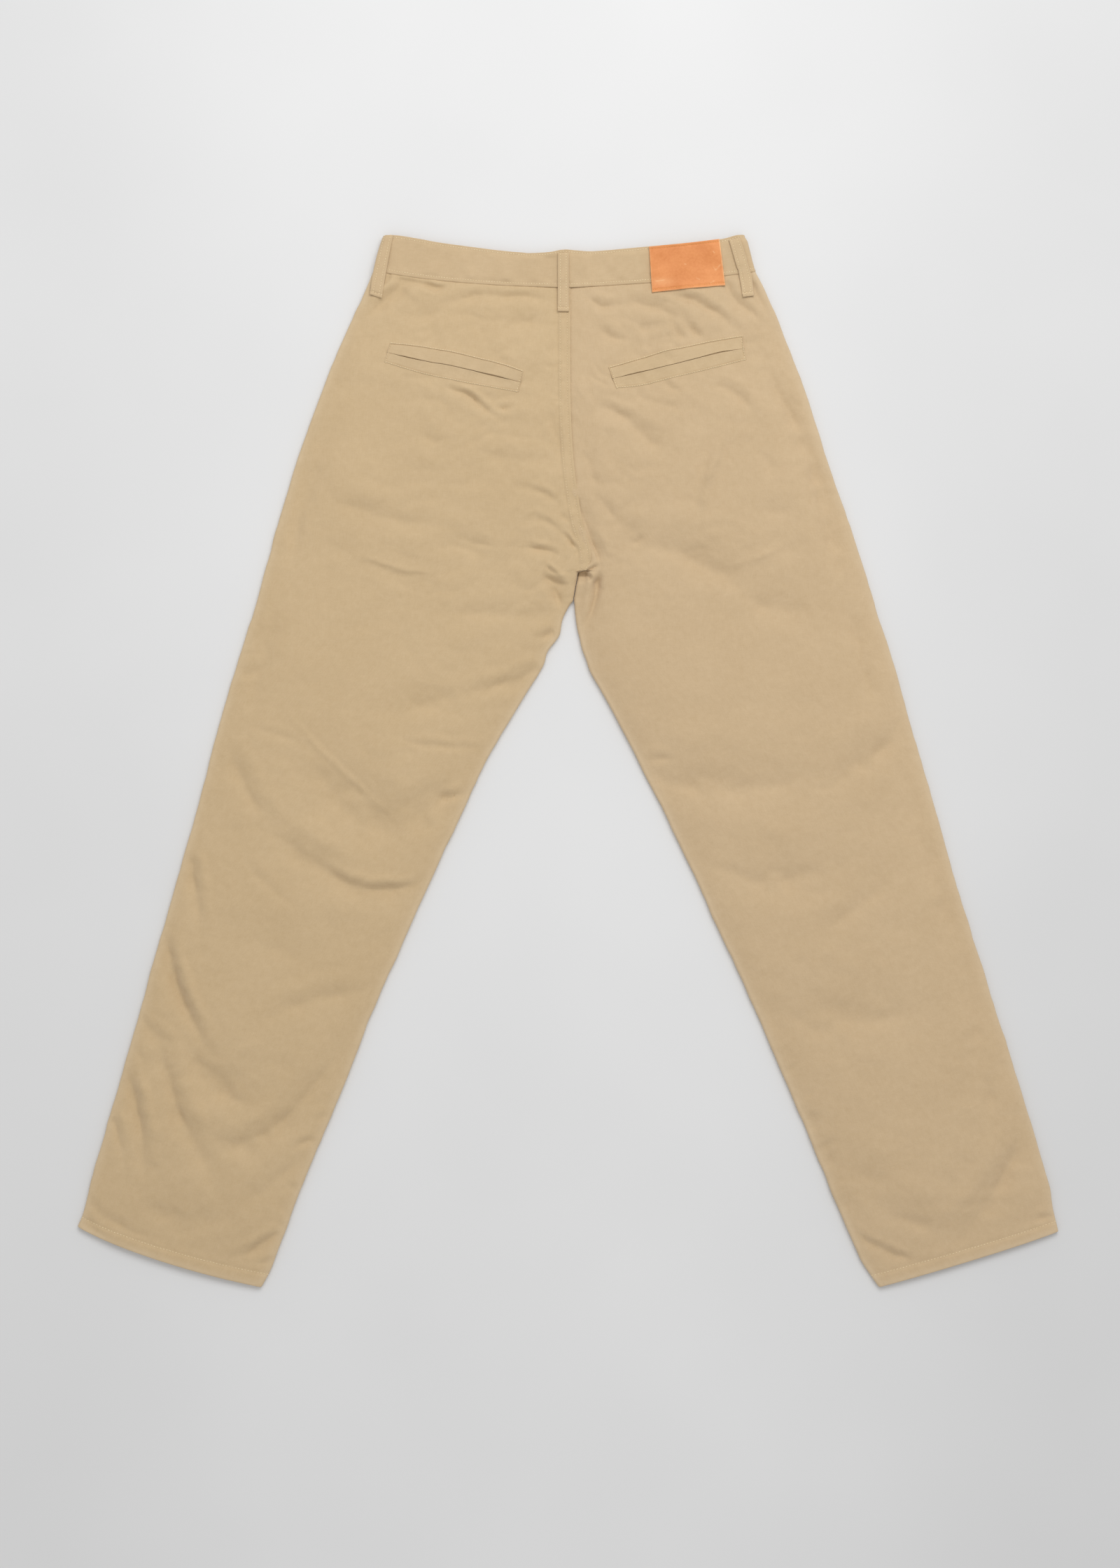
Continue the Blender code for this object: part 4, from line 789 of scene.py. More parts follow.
def waistband(leg):
    """Half of the waistband: from the fly along the underside, round the side fold and back to the centre back."""
    over_length, under_length = (abs(end - BAND_CORNERS[leg][0][0]) - BAND_RADIUS for end in BAND_ENDS[leg])
    under = np.linspace(-BAND_ROLL - under_length, -BAND_ROLL, 76)[:-1]
    arcs = np.concatenate([under, np.linspace(-BAND_ROLL, 0, 10)[:-1], np.linspace(0, over_length, 110)])
    lip = BAND_WALL / 2
    rim = lip / BAND_DEPTH
    shares = np.concatenate([[0.0, 0.007], np.linspace(rim, 1 - rim, 25), [0.993, 1.0]])
    fall = np.interp(shares, [0, 0.007, rim, 1 - rim, 0.993, 1], [-lip, -0.35 * lip, 0, 0, -0.35 * lip, -lip])
    lining = np.array([0.993, 0.9, 0.7, 0.5, 0.3, 0.1, 0.007])
    lining_out = -BAND_WALL + 0.35 * lip * np.isin(lining, (0.993, 0.007))
    down = shares * BAND_DEPTH
    from_top, from_low = down - BAND_ROWS[0], BAND_DEPTH - BAND_ROWS[1] - down
    sewn = bell(from_top, 0.8) + bell(from_low, 0.8)
    between = ease(from_top / 5) * ease(from_low / 5)
    beside_row = bell(np.minimum(abs(from_top), abs(from_low)), 3.5)
    seed, dent = (51, 1.5) if leg == "left" else (52, 0.5)
    rings = []
    for arc in arcs:
        swell = 0.9 * wander(arc, down * 0.5, 24, seed) + 0.7 * wander(arc, down * 0.6, 9, seed + 1)
        swell = swell - dent * bell(over_length - arc - 12, 6)
        over = arc > -BAND_ROLL * 0.5
        puff = between * (0.35 + swell * (1.0 if over else 0.5)) - 0.35 * sewn
        puff = puff + 0.32 * wander(arc, 0, 3.8, seed + 2) * beside_row
        face = band_spot(leg, arc, shares, (puff if over else np.minimum(puff, 0.9)) + fall)
        rings.append(np.vstack([face, band_spot(leg, arc, lining, lining_out)]))
    return rings


# ---- trims that lie on the cloth ----


ABOVE, BELOW = 0.2, -0.05  # heights over and under everything, metres


def tree_of(*pieces):
    """A tree that finds the surface of several pieces, in metres."""
    points, faces = [], []
    for piece in pieces:
        shift = len(points)
        points += [tuple(v.co) for v in piece.data.vertices]
        faces += [tuple(v + shift for v in p.vertices) for p in piece.data.polygons]
    return BVHTree.FromPolygons(points, faces)


def height_under(tree, x, y, reach):
    """Height of the surface at a point, at its highest within reach, or None where there is none."""
    spots = [(x + dx, y + dy) for dx in (-reach, 0, reach) for dy in (-reach, 0, reach)]
    hits = [tree.ray_cast(Vector((a * MM, b * MM, ABOVE)), Vector((0, 0, -1)))[0] for a, b in spots]
    return max((hit.z / MM for hit in hits if hit is not None), default=None)


def smoothed(rows, passes):
    """Each number drawn towards its neighbours along the first axis."""
    rows = np.array(rows, float)
    for _ in range(passes):
        wide = np.concatenate([rows[:1], rows, rows[-1:]])
        rows = 0.25 * wide[:-2] + 0.5 * wide[1:-1] + 0.25 * wide[2:]
    return rows


LOOP_ACROSS = np.concatenate([[0.0, 0.035], np.linspace(0.075, 0.925, 15), [0.965, 1.0]])


def loop_section(width, to_end, from_start, thick, crown, tack):
    """Heights of a loop's face and back over its base across one section, with its rows, tack and rounded edges."""
    half = LOOP_THICK / 2
    from_side = np.minimum(LOOP_ACROSS, 1 - LOOP_ACROSS) * width
    round_side = half * (1 - np.sqrt(np.maximum(0.0, 1 - (1 - np.minimum(from_side / 0.85, 1)) ** 2)))
    round_end = 0.7 * half * ((1 - min(to_end / 0.9, 1)) ** 2 + (1 - min(from_start / 0.9, 1)) ** 2)
    sink = np.minimum(round_side + round_end, half * 0.98)
    face = thick + crown * np.sin(math.pi * LOOP_ACROSS) - 0.3 * bell(from_side - LOOP_ROW, 0.8) - tack - sink
    return face, np.minimum(sink, half * 0.9)


def belt_loop(tree, left_edge, right_edge):
    """A belt loop: a strip with folded edges and two lengthwise stitch rows, its ends turned under and tacked."""
    shares = np.concatenate([np.linspace(0, 0.08, 7), np.linspace(0.1, 0.88, 34), np.linspace(0.895, 1, 12)])
    left, right = along_line(left_edge, shares), along_line(right_edge, shares)
    length = np.linalg.norm(left[-1] - left[0])
    probes = (0.03, 0.2, 0.4, 0.6, 0.8, 0.97)
    base = []
    for a, b in zip(left, right):
        found = [height_under(tree, *(a + (b - a) * s), 0.8) for s in probes]
        known = [f for f in found if f is not None]
        base.append([max(known) if f is None else f for f in found])
    base = np.array(base)
    base = 0.4 * base + 0.6 * base.max(axis=1, keepdims=True)
    base = smoothed(np.maximum(base, smoothed(base, 6)), 2)
    rings = []
    for a, b, share, heights in zip(left, right, shares, base):
        to_end = (1 - share) * length
        spots = a + (b - a) * LOOP_ACROSS[:, None]
        z = np.interp(LOOP_ACROSS, probes, heights) + 0.25 + 0.4 * math.sin(math.pi * min(share / 0.85, 1)) ** 1.3
        tack = 0.8 * bell(to_end - LOOP_TACK, 0.9) + 0.3 * bell(to_end - 6.0, 1.2)
        thick = LOOP_THICK + 0.5 * ease((LOOP_TACK - to_end) / 1.5)
        face, back = loop_section(np.linalg.norm(b - a), to_end, share * length, thick, 0.3, tack)
        top = np.maximum(z + face + 0.12 * wander(*spots.T, 5, 61), z + LOOP_THICK / 2)
        rings.append(np.vstack([np.column_stack([spots, top]), np.column_stack([spots, z + back])[::-1]]))
    return rings


def side_loop(rows=44):
    """The left belt loop, which goes round the side fold: its rings follow the band and then the panel under it."""
    path = ((9.5, 0), (9.9, 0.2), (11.6, 0.7), (13.2, 1.15), (15.4, 1.65))
    length = 60.0
    rings = []
    for t, (reach, share) in zip(np.linspace(0, 1, rows), along_line(path, np.linspace(0, 1, rows))):
        to_end = (1 - t) * length
        base = 0.45 + 0.5 * math.sin(math.pi * min(t / 0.85, 1)) ** 1.3 + 1.2 * ease((share - 0.95) / 0.5)
        tack = 0.8 * bell(to_end - LOOP_TACK, 0.9)
        face, back = loop_section(LOOP_WIDTH, to_end, t * length, LOOP_THICK, 0.25, tack)
        arcs = reach - 3.0 - LOOP_WIDTH * (1 - LOOP_ACROSS)
        share = min(share + 0.01, 1.65)
        top = np.maximum(base + face, base + LOOP_THICK / 2)
        rings.append(np.vstack([
            band_spot("left", arcs, share, top), band_spot("left", arcs, share, base + back)[::-1],
        ]))
    return rings


def front_loop(x):
    """A belt loop of the front, lying flat under the band."""
    top, low = front_loop_ends(x)
    half = FRONT_LOOP_THICK / 2
    across = np.concatenate([[0.0, 0.04], np.linspace(0.09, 0.91, 11), [0.96, 1.0]])
    from_side = np.minimum(across, 1 - across) * LOOP_WIDTH
    rings = []
    for y in np.linspace(top - 1.2, low, 30):
        round_end = 0.6 * half * (1 - min(top - 1.2 - y, y - low, 0.9) / 0.9) ** 2
        sink = np.minimum(half * (1 - np.minimum(from_side / 0.8, 1)) ** 2 + round_end, half * 0.95)
        face = sink + 0.22 * bell(from_side - LOOP_ROW, 0.8) + 0.35 * bell(y - low - LOOP_TACK, 0.9)
        face, back = np.minimum(face, half * 0.98), FRONT_LOOP_THICK - np.minimum(sink, half * 0.9)
        spots = np.column_stack([x + (across - 0.5) * LOOP_WIDTH, np.full(across.shape, y)])
        rings.append(np.vstack([np.column_stack([spots, face])[::-1], np.column_stack([spots, back])]))
    return rings


def front_loop_ends(x):
    """Upper and lower end of a front belt loop."""
    return np.interp(x, *EDGE.T), np.interp(x, SEAM_X, SEAM_Y) - FRONT_LOOP_DROP


def lengthened(line, by):
    """A polyline with its two ends drawn out."""
    line = np.array(line, float)
    first, last = line[0] - line[1], line[-1] - line[-2]
    first, last = line[0] + first / np.linalg.norm(first) * by, line[-1] + last / np.linalg.norm(last) * by
    return np.vstack([first, line, last])


def welt(tree, leg, which):
    """One lip of a back pocket with the folded cloth edge round it: a groove parts the two, the slit ends the lip."""
    upper, slit, lower = POCKETS[leg]
    sewn_line, mouth_line = lengthened(upper if which == "upper" else lower, FRAME), lengthened(slit, FRAME)
    length = np.linalg.norm(np.diff(sewn_line, axis=0), axis=1).sum()
    close = np.array([0, 0.5, 1.0, 1.5, 1.8, 2.05, 2.3, 2.6, 3.0, 3.8])
    runs = np.concatenate([close, np.linspace(5, length - 5, 66), (length - close)[::-1]])
    sewn, mouth = along_line(sewn_line, runs / length), along_line(mouth_line, runs / length)
    way = (sewn - mouth) / np.linalg.norm(sewn - mouth, axis=1)[:, None]
    in_end = np.minimum(runs, length - runs) - FRAME
    parted = 0.04 + 0.46 * ease((in_end - 3) / 16) * (0.7 + 0.5 * wander(runs, 0, 22, 70))
    width = np.linalg.norm(sewn - mouth - way * parted[:, None], axis=1)
    outside = (-FRAME, -1.4, -0.9, -0.5, -0.25, 0.0, 0.25, 0.5, 0.8)
    near_slit = np.array([0.8, 0.5, 0.25, 0.08, 0.0])
    rim = 0.8 if which == "upper" else 0.62
    profile = (  # distance inward from the sewn line, and height there
        (-FRAME, -1.3, -0.6, -0.25, 0.0, 0.3, 0.75, 1.5, 3.0),
        (-0.25, 0.16, rim, rim - 0.05, 0.02, -0.02, 0.22, 0.3, 0.36),
    )
    seed = {"left": 71, "right": 73}[leg] + (which == "lower")
    rings = []
    for k in range(len(runs)):
        inward = np.concatenate([outside, np.linspace(1.3, width[k] - 1.2, 6), width[k] - near_slit])
        x, y = (sewn[k] - way[k] * inward[:, None]).T
        raw = np.array([height_under(tree, a, b, 0.7) for a, b in zip(x, y)])
        ground = smoothed(raw + under_mouths(x, y, leg), 3)
        top = ground + np.interp(np.minimum(inward, in_end[k]), *profile)
        top += (0.1 * wander(x, y, 9, seed) + 0.06 * wander(x, y, 4, seed + 9)) * ease(inward / 2)
        near = np.minimum((width[k] - inward) / 0.55, 1)
        top -= 0.5 * (1 - np.sqrt(np.maximum(0, 1 - (1 - near) ** 2)))
        low = np.minimum(np.where(inward > width[k] - 1, raw + 0.1, ground - 0.3), top - 0.12)
        ring = np.vstack([np.column_stack([x, y, top]), np.column_stack([x, y, low])[::-1]])
        rings.append(ring if which == "upper" else ring[::-1])
    return rings


PATCH_SIZE = (73.0, 47.5)
PATCH_THICK = 1.5
PATCH_ROWS = (2.5, 2.9)  # stitch rows, from the patch's upper and lower edge
PATCH_SCUFFS = (
    ((149.0, 506.2), (151.2, 502.8), (156.9, 509.4)),
    ((148.6, 521.9), (149.9, 520.6)),
    ((131.8, 494.6), (134.6, 493.4)),
    ((119.5, 509.2), (121.0, 508.7)),
    ((90.0, 491.5), (101.0, 493.4)),
    ((146.0, 489.8), (149.6, 491.8)),
)


def leather_patch(tree):
    """The leather patch: a slab cut square, laid over the band and pressed down along its stitch rows."""
    a, b, c, d = np.array(PATCH_CORNERS)
    us = np.concatenate([[0, 0.004, 0.009], np.linspace(0.018, 0.982, 103), [0.991, 0.996, 1]])
    vs = np.concatenate([[0, 0.006, 0.014], np.linspace(0.028, 0.972, 67), [0.986, 0.994, 1]])
    u, v = us[None, :, None], vs[:, None, None]
    spots = (1 - v) * ((1 - u) * a + u * b) + v * ((1 - u) * d + u * c)
    spots[..., 1] -= 0.35 * np.sin(math.pi * us)[None] * (1 - 2 * vs)[:, None]
    few_v, few_u = (np.unique(np.append(np.arange(0, len(line), 3), len(line) - 1)) for line in (vs, us))
    found = np.array([[height_under(tree, *spots[i, k], 2.0) for k in few_u] for i in few_v])
    ground = np.array([np.interp(us, us[few_u], row) for row in found])
    ground = np.array([np.interp(vs, vs[few_v], column) for column in ground.T]).T
    ground = smoothed(smoothed(ground, 40).T, 40).T + 0.35
    x, y = spots[..., 0], spots[..., 1]
    from_top, from_low = vs[:, None] * PATCH_SIZE[1], (1 - vs)[:, None] * PATCH_SIZE[1]
    from_side = np.minimum(us, 1 - us)[None] * PATCH_SIZE[0]
    sewn = bell(from_top - PATCH_ROWS[0], 0.7) + bell(from_low - PATCH_ROWS[1], 0.7)
    near_rim = np.minimum(np.minimum(from_top, from_low), from_side)
    surface = 0.25 * wander(x, y, 16, 91) + 0.1 * wander(x, y, 5, 92) + 0.03 * wander(x, y, 1.6, 93)
    curl = 0.5 * bell(from_side, 9) * ease(from_top / 12) * ease(from_low / 12)
    top = ground + PATCH_THICK + surface + curl - 0.55 * sewn - 0.4 * (1 - np.minimum(near_rim / 0.5, 1)) ** 2
    return np.dstack([spots, top]), np.dstack([spots, ground + 0.6 * curl])[::2, ::2]


def patch_wear(x, y):
    """How pale rubbing leaves the leather at a point: scuffs, and the rims that were rubbed."""
    pale = np.zeros(x.shape)
    for scuff in PATCH_SCUFFS:
        for (x0, y0), (x1, y1) in zip(scuff, scuff[1:]):
            dx, dy = x1 - x0, y1 - y0
            t = np.clip(((x - x0) * dx + (y - y0) * dy) / (dx * dx + dy * dy), 0, 1)
            away = np.hypot(x - x0 - t * dx, y - y0 - t * dy)
            pale = np.maximum(pale, 0.55 * bell(away, 0.5) * (0.6 + 0.6 * wander(x, y, 1.8, 94)))
    a, b, c, d = PATCH_CORNERS
    for (x0, y0), (x1, y1), amount in ((b, c, 0.9), (c, d, 0.6), (d, a, 0.35), (a, b, 0.25)):
        away = abs((x - x0) * (y1 - y0) - (y - y0) * (x1 - x0)) / math.hypot(x1 - x0, y1 - y0)
        pale = np.maximum(pale, amount * bell(away, 0.9) * (0.7 + 0.5 * wander(x, y, 5, 95)))
    return np.clip(pale + 0.22 * bell(x - 96, 12) * bell(y - 491, 4), 0, 1)


def turned(profile, steps, centre=(0.0, 0.0)):
    """Points and faces of a body turned on an upright axis from radii and heights."""
    angles = 2 * math.pi * np.arange(steps) / steps
    circle = np.column_stack([np.cos(angles), np.sin(angles)])
    return tube_of([np.column_stack([centre + circle * radius, np.full(steps, z)]) for radius, z in profile])[:2]


def scratch_solid(name, *bodies):
    """An object of several bodies that is deleted again."""
    points, faces = [], []
    for body_points, body_faces in bodies:
        faces += [tuple(v + len(points) for v in face) for face in body_faces]
        points += (body_points * MM).tolist()
    mesh = bpy.data.meshes.new(name)
    mesh.from_pydata(points, [], faces)
    return linked(name, mesh)


def linked(name, data):
    """An object in the scene."""
    item = bpy.data.objects.new(name, data)
    bpy.context.scene.collection.objects.link(item)
    return item


def evaluated_mesh(item):
    """The mesh that an object's modifiers make of it."""
    depsgraph = bpy.context.evaluated_depsgraph_get()
    depsgraph.update()
    return bpy.data.meshes.new_from_object(item.evaluated_get(depsgraph))


def waist_button():
    """The waist button, face down: a dished disc with a raised rim and four holes through it."""
    profile = (  # share of the radius, and height
        (0.60, 0.42), (0.70, 0.34), (0.80, 0.06), (0.86, 0.0), (0.92, 0.0), (0.97, 0.1), (1.0, 0.32), (1.0, 0.85),
        (0.96, 1.0), (0.6, 1.0),
    )
    disc = scratch_solid("button_disc", turned([(BUTTON_RADIUS * share, z) for share, z in profile], 56))
    places = np.array([(side, end) for side in (-1, 1) for end in (-1, 1)]) * BUTTON_HOLE_REACH
    drill = (BUTTON_HOLE, -1.0), (BUTTON_HOLE, 2.0)
    drills = scratch_solid("button_drills", *(turned(drill, 12, place) for place in places))
    cut = disc.modifiers.new("holes", "BOOLEAN")
    cut.operation, cut.object, cut.solver = "DIFFERENCE", drills, "EXACT"
    result = evaluated_mesh(disc)
    middle = (BUTTON_X, np.interp(BUTTON_X, SEAM_X, SEAM_Y) + BUTTON_RISE, 0)
    points = np.array([v.co for v in result.vertices]) / MM + middle
    for item in (disc, drills):
        bpy.data.objects.remove(item, do_unlink=True)
    return points, [tuple(p.vertices) for p in result.polygons], None


# ---- materials ----


def fill(tree, node, inputs):
    """A node with its inputs set; a value may be another node's output."""
    for key, value in inputs.items():
        if isinstance(value, bpy.types.NodeSocket):
            tree.links.new(value, node.inputs[key])
        else:
            node.inputs[key].default_value = value
    return node


def add(tree, kind, inputs=None, **settings):
    """A new node with its settings and its inputs."""
    node = tree.nodes.new(kind)
    for key, value in settings.items():
        setattr(node, key, value)
    return fill(tree, node, inputs or {})


def blank(name):
    """A new material, its node tree and the place on the object for its textures."""
    material = bpy.data.materials.new(name)
    material.use_nodes = True
    tree = material.node_tree
    return material, tree, add(tree, "ShaderNodeTexCoord").outputs["Object"]


def finished(material, inputs):
    """The material with its shader's inputs set."""
    fill(material.node_tree, material.node_tree.nodes["Principled BSDF"], inputs)
    return material


def sum_of(tree, *parts):
    """Outputs added up, each with its own weight."""
    total = None
    for socket, weight in parts:
        part = add(tree, "ShaderNodeMath", {0: socket, 1: weight}, operation="MULTIPLY").outputs[0]
        total = part if total is None else add(tree, "ShaderNodeMath", {0: total, 1: part}, operation="ADD").outputs[0]
    return total


def noise(tree, place, scale, detail, **more):
    """Noise at a scale, with so much detail."""
    inputs = {"Vector": place, "Scale": scale, "Detail": detail, **more}
    return add(tree, "ShaderNodeTexNoise", inputs).outputs["Fac"]


def mapped(tree, place, **more):
    """A place turned or stretched."""
    return add(tree, "ShaderNodeMapping", {"Vector": place, **more}).outputs[0]


def ramp(tree, value, *stops):
    """A value as a colour between two stops, each a position and a colour."""
    node = add(tree, "ShaderNodeValToRGB", {"Fac": value})
    for element, (position, colour) in zip(node.color_ramp.elements, stops):
        element.position, element.color = position, (*colour, 1)
    return node.outputs["Color"]


def paler_by_rubbing_and_rim_light(tree, colour, pale):
    """A colour that goes paler where the mesh says: rubbed leather, and painted rim light on the cloth's folds."""
    worn = add(tree, "ShaderNodeAttribute", attribute_name="worn").outputs["Fac"]
    inputs = {"Factor": worn, "A": colour, "B": (*pale, 1)}
    return add(tree, "ShaderNodeMix", inputs, data_type="RGBA").outputs["Result"]


def bump(tree, height, strength, distance, under=None):
    """Unevenness of a surface, on top of another one if given."""
    inputs = {"Height": height, "Strength": strength, "Distance": distance}
    return add(tree, "ShaderNodeBump", inputs | ({"Normal": under} if under else {})).outputs[0]


def twill_finish(name, light, dark, pale=(0.74, 0.60, 0.42)):
    """Cotton twill: slanted ribs, slubbed yarn, a washed mottle, small crumples and painted rim light along the folds.
    """
    material, tree, place = blank(name)
    cloth = add(tree, "ShaderNodeTexCoord").outputs["UV"]
    slanted = mapped(tree, cloth, Rotation=(0, 0, math.radians(33)))
    wave = {"Vector": slanted, "Scale": 420.0, "Distortion": 1.2, "Detail": 2.0, "Detail Scale": 0.6}
    ribs = add(tree, "ShaderNodeTexWave", wave, wave_type="BANDS", bands_direction="X").outputs["Fac"]
    slubs = noise(tree, mapped(tree, cloth, Scale=(1500, 90, 1)), 1.0, 2.0)
    cross_slubs = noise(tree, mapped(tree, cloth, Scale=(110, 1700, 1)), 1.0, 2.0)
    mottle = noise(tree, place, 150.0, 4.0, Roughness=0.65)
    patches = noise(tree, place, 16.0, 3.0)
    creased = noise(tree, place, 46.0, 3.0, Roughness=0.55, Distortion=0.6)
    shade = sum_of(tree, (ribs, 0.16), (slubs, 0.26), (cross_slubs, 0.2), (mottle, 0.34), (patches, 0.22))
    fine = bump(tree, sum_of(tree, (ribs, 0.5), (slubs, 0.5), (cross_slubs, 0.4)), 0.55, 0.00016)
    middle = bump(tree, mottle, 0.35, 0.0006, fine)
    rough = add(tree, "ShaderNodeMapRange", {"Value": mottle, "To Min": 0.8, "To Max": 0.96})
    # painted rim light: paler cloth along the back panels' folds, where their mesh says so
    return finished(material, {
        "Base Color": paler_by_rubbing_and_rim_light(tree, ramp(tree, shade, (0.36, dark), (0.82, light)), pale),
        "Roughness": rough.outputs["Result"],
        "Normal": bump(tree, creased, 0.3, 0.0022, middle),
        "Sheen Weight": 0.32,
        "Sheen Roughness": 0.5,
        "Specular IOR Level": 0.25,
    })


def thread_finish(name, light, dark):
    """Twisted sewing thread."""
    material, tree, place = blank(name)
    turns = noise(tree, place, 900.0, 1.0)
    return finished(material, {
        "Base Color": ramp(tree, turns, (0.3, dark), (0.7, light)),
        "Normal": bump(tree, turns, 0.4, 0.0001),
        "Roughness": 0.6,
        "Sheen Weight": 0.2,
    })


def leather_finish(name, light, dark, pale, roughness):
    """Veg-tanned leather: blotches, a fine grained surface and paler rubbed places where the mesh says so."""
    material, tree, place = blank(name)
    blotch = noise(tree, place, 38.0, 3.0, Roughness=0.5)
    speck = noise(tree, place, 420.0, 3.0)
    cells = add(tree, "ShaderNodeTexVoronoi", {"Vector": place, "Scale": 900.0}, feature="DISTANCE_TO_EDGE")
    shade = sum_of(tree, (blotch, 0.7), (speck, 0.3))
    leather_grain_and_paper_shade = bump(tree, cells.outputs["Distance"], 0.3, 0.0002)
    return finished(material, {
        "Base Color": paler_by_rubbing_and_rim_light(tree, ramp(tree, shade, (0.36, dark), (0.64, light)), pale),
        "Normal": bump(tree, blotch, 0.3, 0.0008, leather_grain_and_paper_shade),
        "Roughness": roughness,
        "Specular IOR Level": 0.35,
    })


def horn_finish(name):
    """Polished horn: dark streaks in brown."""
    material, tree, place = blank(name)
    streaks = noise(tree, mapped(tree, place, Scale=(60, 260, 60)), 1.0, 4.0, Distortion=0.8)
    return finished(material, {
        "Base Color": ramp(tree, streaks, (0.35, (0.045, 0.024, 0.012)), (0.7, (0.30, 0.17, 0.08))),
        "Roughness": 0.28,
        "Coat Weight": 0.3,
    })


def paper_finish(name):
    """Pale matt paper with painted shade: soft waves of lightness, dimmer towards both sides where the light falls off.
    """
    material, tree, place = blank(name)
    # painted shade: soft waves of lightness where the paper undulates
    leather_grain_and_paper_shade = ramp(tree, noise(tree, place, 3.6, 2.5), (0, (0.77, 0.77, 0.77)), (1, (0.835, 0.835, 0.835)))
    # painted shade: the paper dims towards both sides as the light falls off there
    across = add(tree, "ShaderNodeSeparateXYZ", {0: place}).outputs["X"]
    sides = []
    for start, end, first, last in ((-0.56, -0.2, 0.955, 1.0), (0.1, 0.56, 1.0, 0.9)):
        inputs = {"Value": across, "From Min": start, "From Max": end, "To Min": first, "To Max": last}
        sides.append(add(tree, "ShaderNodeMapRange", inputs, interpolation_type="SMOOTHSTEP").outputs["Result"])
    painted_side_shade = add(tree, "ShaderNodeMath", dict(enumerate(sides)), operation="MULTIPLY").outputs[0]
    inputs = {"Factor": 1.0, "A": leather_grain_and_paper_shade, "B": painted_side_shade}
    shaded = add(tree, "ShaderNodeMix", inputs, data_type="RGBA", blend_type="MULTIPLY")
    return finished(material, {
        "Base Color": shaded.outputs["Result"],
        "Roughness": 0.9,
        "Specular IOR Level": 0.1,
    })


TWILL = twill_finish("sand_twill", (0.652, 0.489, 0.301), (0.548, 0.396, 0.225))
BACK_TWILL = {
    "left": twill_finish("sand_twill_left", (0.652, 0.489, 0.295), (0.548, 0.396, 0.219)),
    "right": twill_finish("sand_twill_right", (0.652, 0.489, 0.304), (0.548, 0.396, 0.228)),
}
WELT_TWILL = twill_finish("sand_twill_welt", (0.65, 0.49, 0.30), (0.545, 0.395, 0.222))
THREAD = thread_finish("sand_thread", (0.84, 0.69, 0.44), (0.68, 0.53, 0.31))
SEAM_THREAD = thread_finish("sand_seam_thread", (0.75, 0.60, 0.37), (0.61, 0.46, 0.27))
PATCH_THREAD = thread_finish("amber_thread", (0.80, 0.42, 0.11), (0.62, 0.26, 0.05))
LEATHER = leather_finish("natural_leather", (0.82, 0.325, 0.112), (0.69, 0.245, 0.073), (0.95, 0.56, 0.28), 0.58)
CUT_LEATHER = leather_finish("cut_leather", (0.85, 0.52, 0.27), (0.74, 0.40, 0.18), (0.92, 0.66, 0.42), 0.85)
HORN = horn_finish("brown_horn")


# ---- pieces ----


def make_piece(name, shape, material, node, angle=55):
    """A finished piece from points, faces and places on the flat cloth, riding on the one body."""
    points, faces, places = shape
    mesh = bpy.data.meshes.new(name)
    mesh.from_pydata((points * MM).tolist(), [], faces)
    mesh.calc_loop_triangles()
    a, b, c = points[np.array([t.vertices for t in mesh.loop_triangles]).T]
    if np.einsum("ij,ij->i", a, np.cross(b, c)).sum() < 0:
        mesh.flip_normals()
    mesh.shade_smooth()
    mesh.set_sharp_from_angle(angle=math.radians(angle))
    if places is not None:
        corners = np.empty(len(mesh.loops), int)
        mesh.loops.foreach_get("vertex_index", corners)
        mesh.uv_layers.new(name="cloth").data.foreach_set("uv", places[corners].ravel())
    mesh.materials.append(material)
    piece = linked(name, mesh)
    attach(piece, "root")
    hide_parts(node)
    return piece


def points_of(piece):
    """The points of a piece, in millimetres."""
    return np.array([v.co for v in piece.data.vertices]) / MM


def write_rubbing_and_rim_light(piece, amounts):
    """Write how pale each point of a piece is, for its material to read: rubbed leather, painted rim light on cloth."""
    piece.data.attributes.new("worn", "FLOAT", "POINT").data.foreach_set("value", amounts)


def painted_rim_light(leg, x, y):
    """Painted rim light: how much paler a point is, most at the side folds and, below the crotch, at the inner folds.
    """
    shape = SHAPES[leg]
    outer, inner = (np.interp(y, *ends[np.argsort(ends[:, 1])].T[::-1]) for ends in (shape.outer, shape.inner))
    start, end = shape.outer[-1], shape.inner[-1]
    along = np.clip((x - start[0]) / (end[0] - start[0]), 0, 1)
    from_hem = y - start[1] - (end[1] - start[1]) * along + bowed(shape.bow[-1], along)
    rim = bell(x - outer, 6.5) + ease((165 - y) / 40) * bell(x - inner, 7) + bell(from_hem, 5)
    return np.clip(np.minimum(rim, 1) * (0.27 + 0.08 * wander(x, y, 12, 97)), 0, 1)


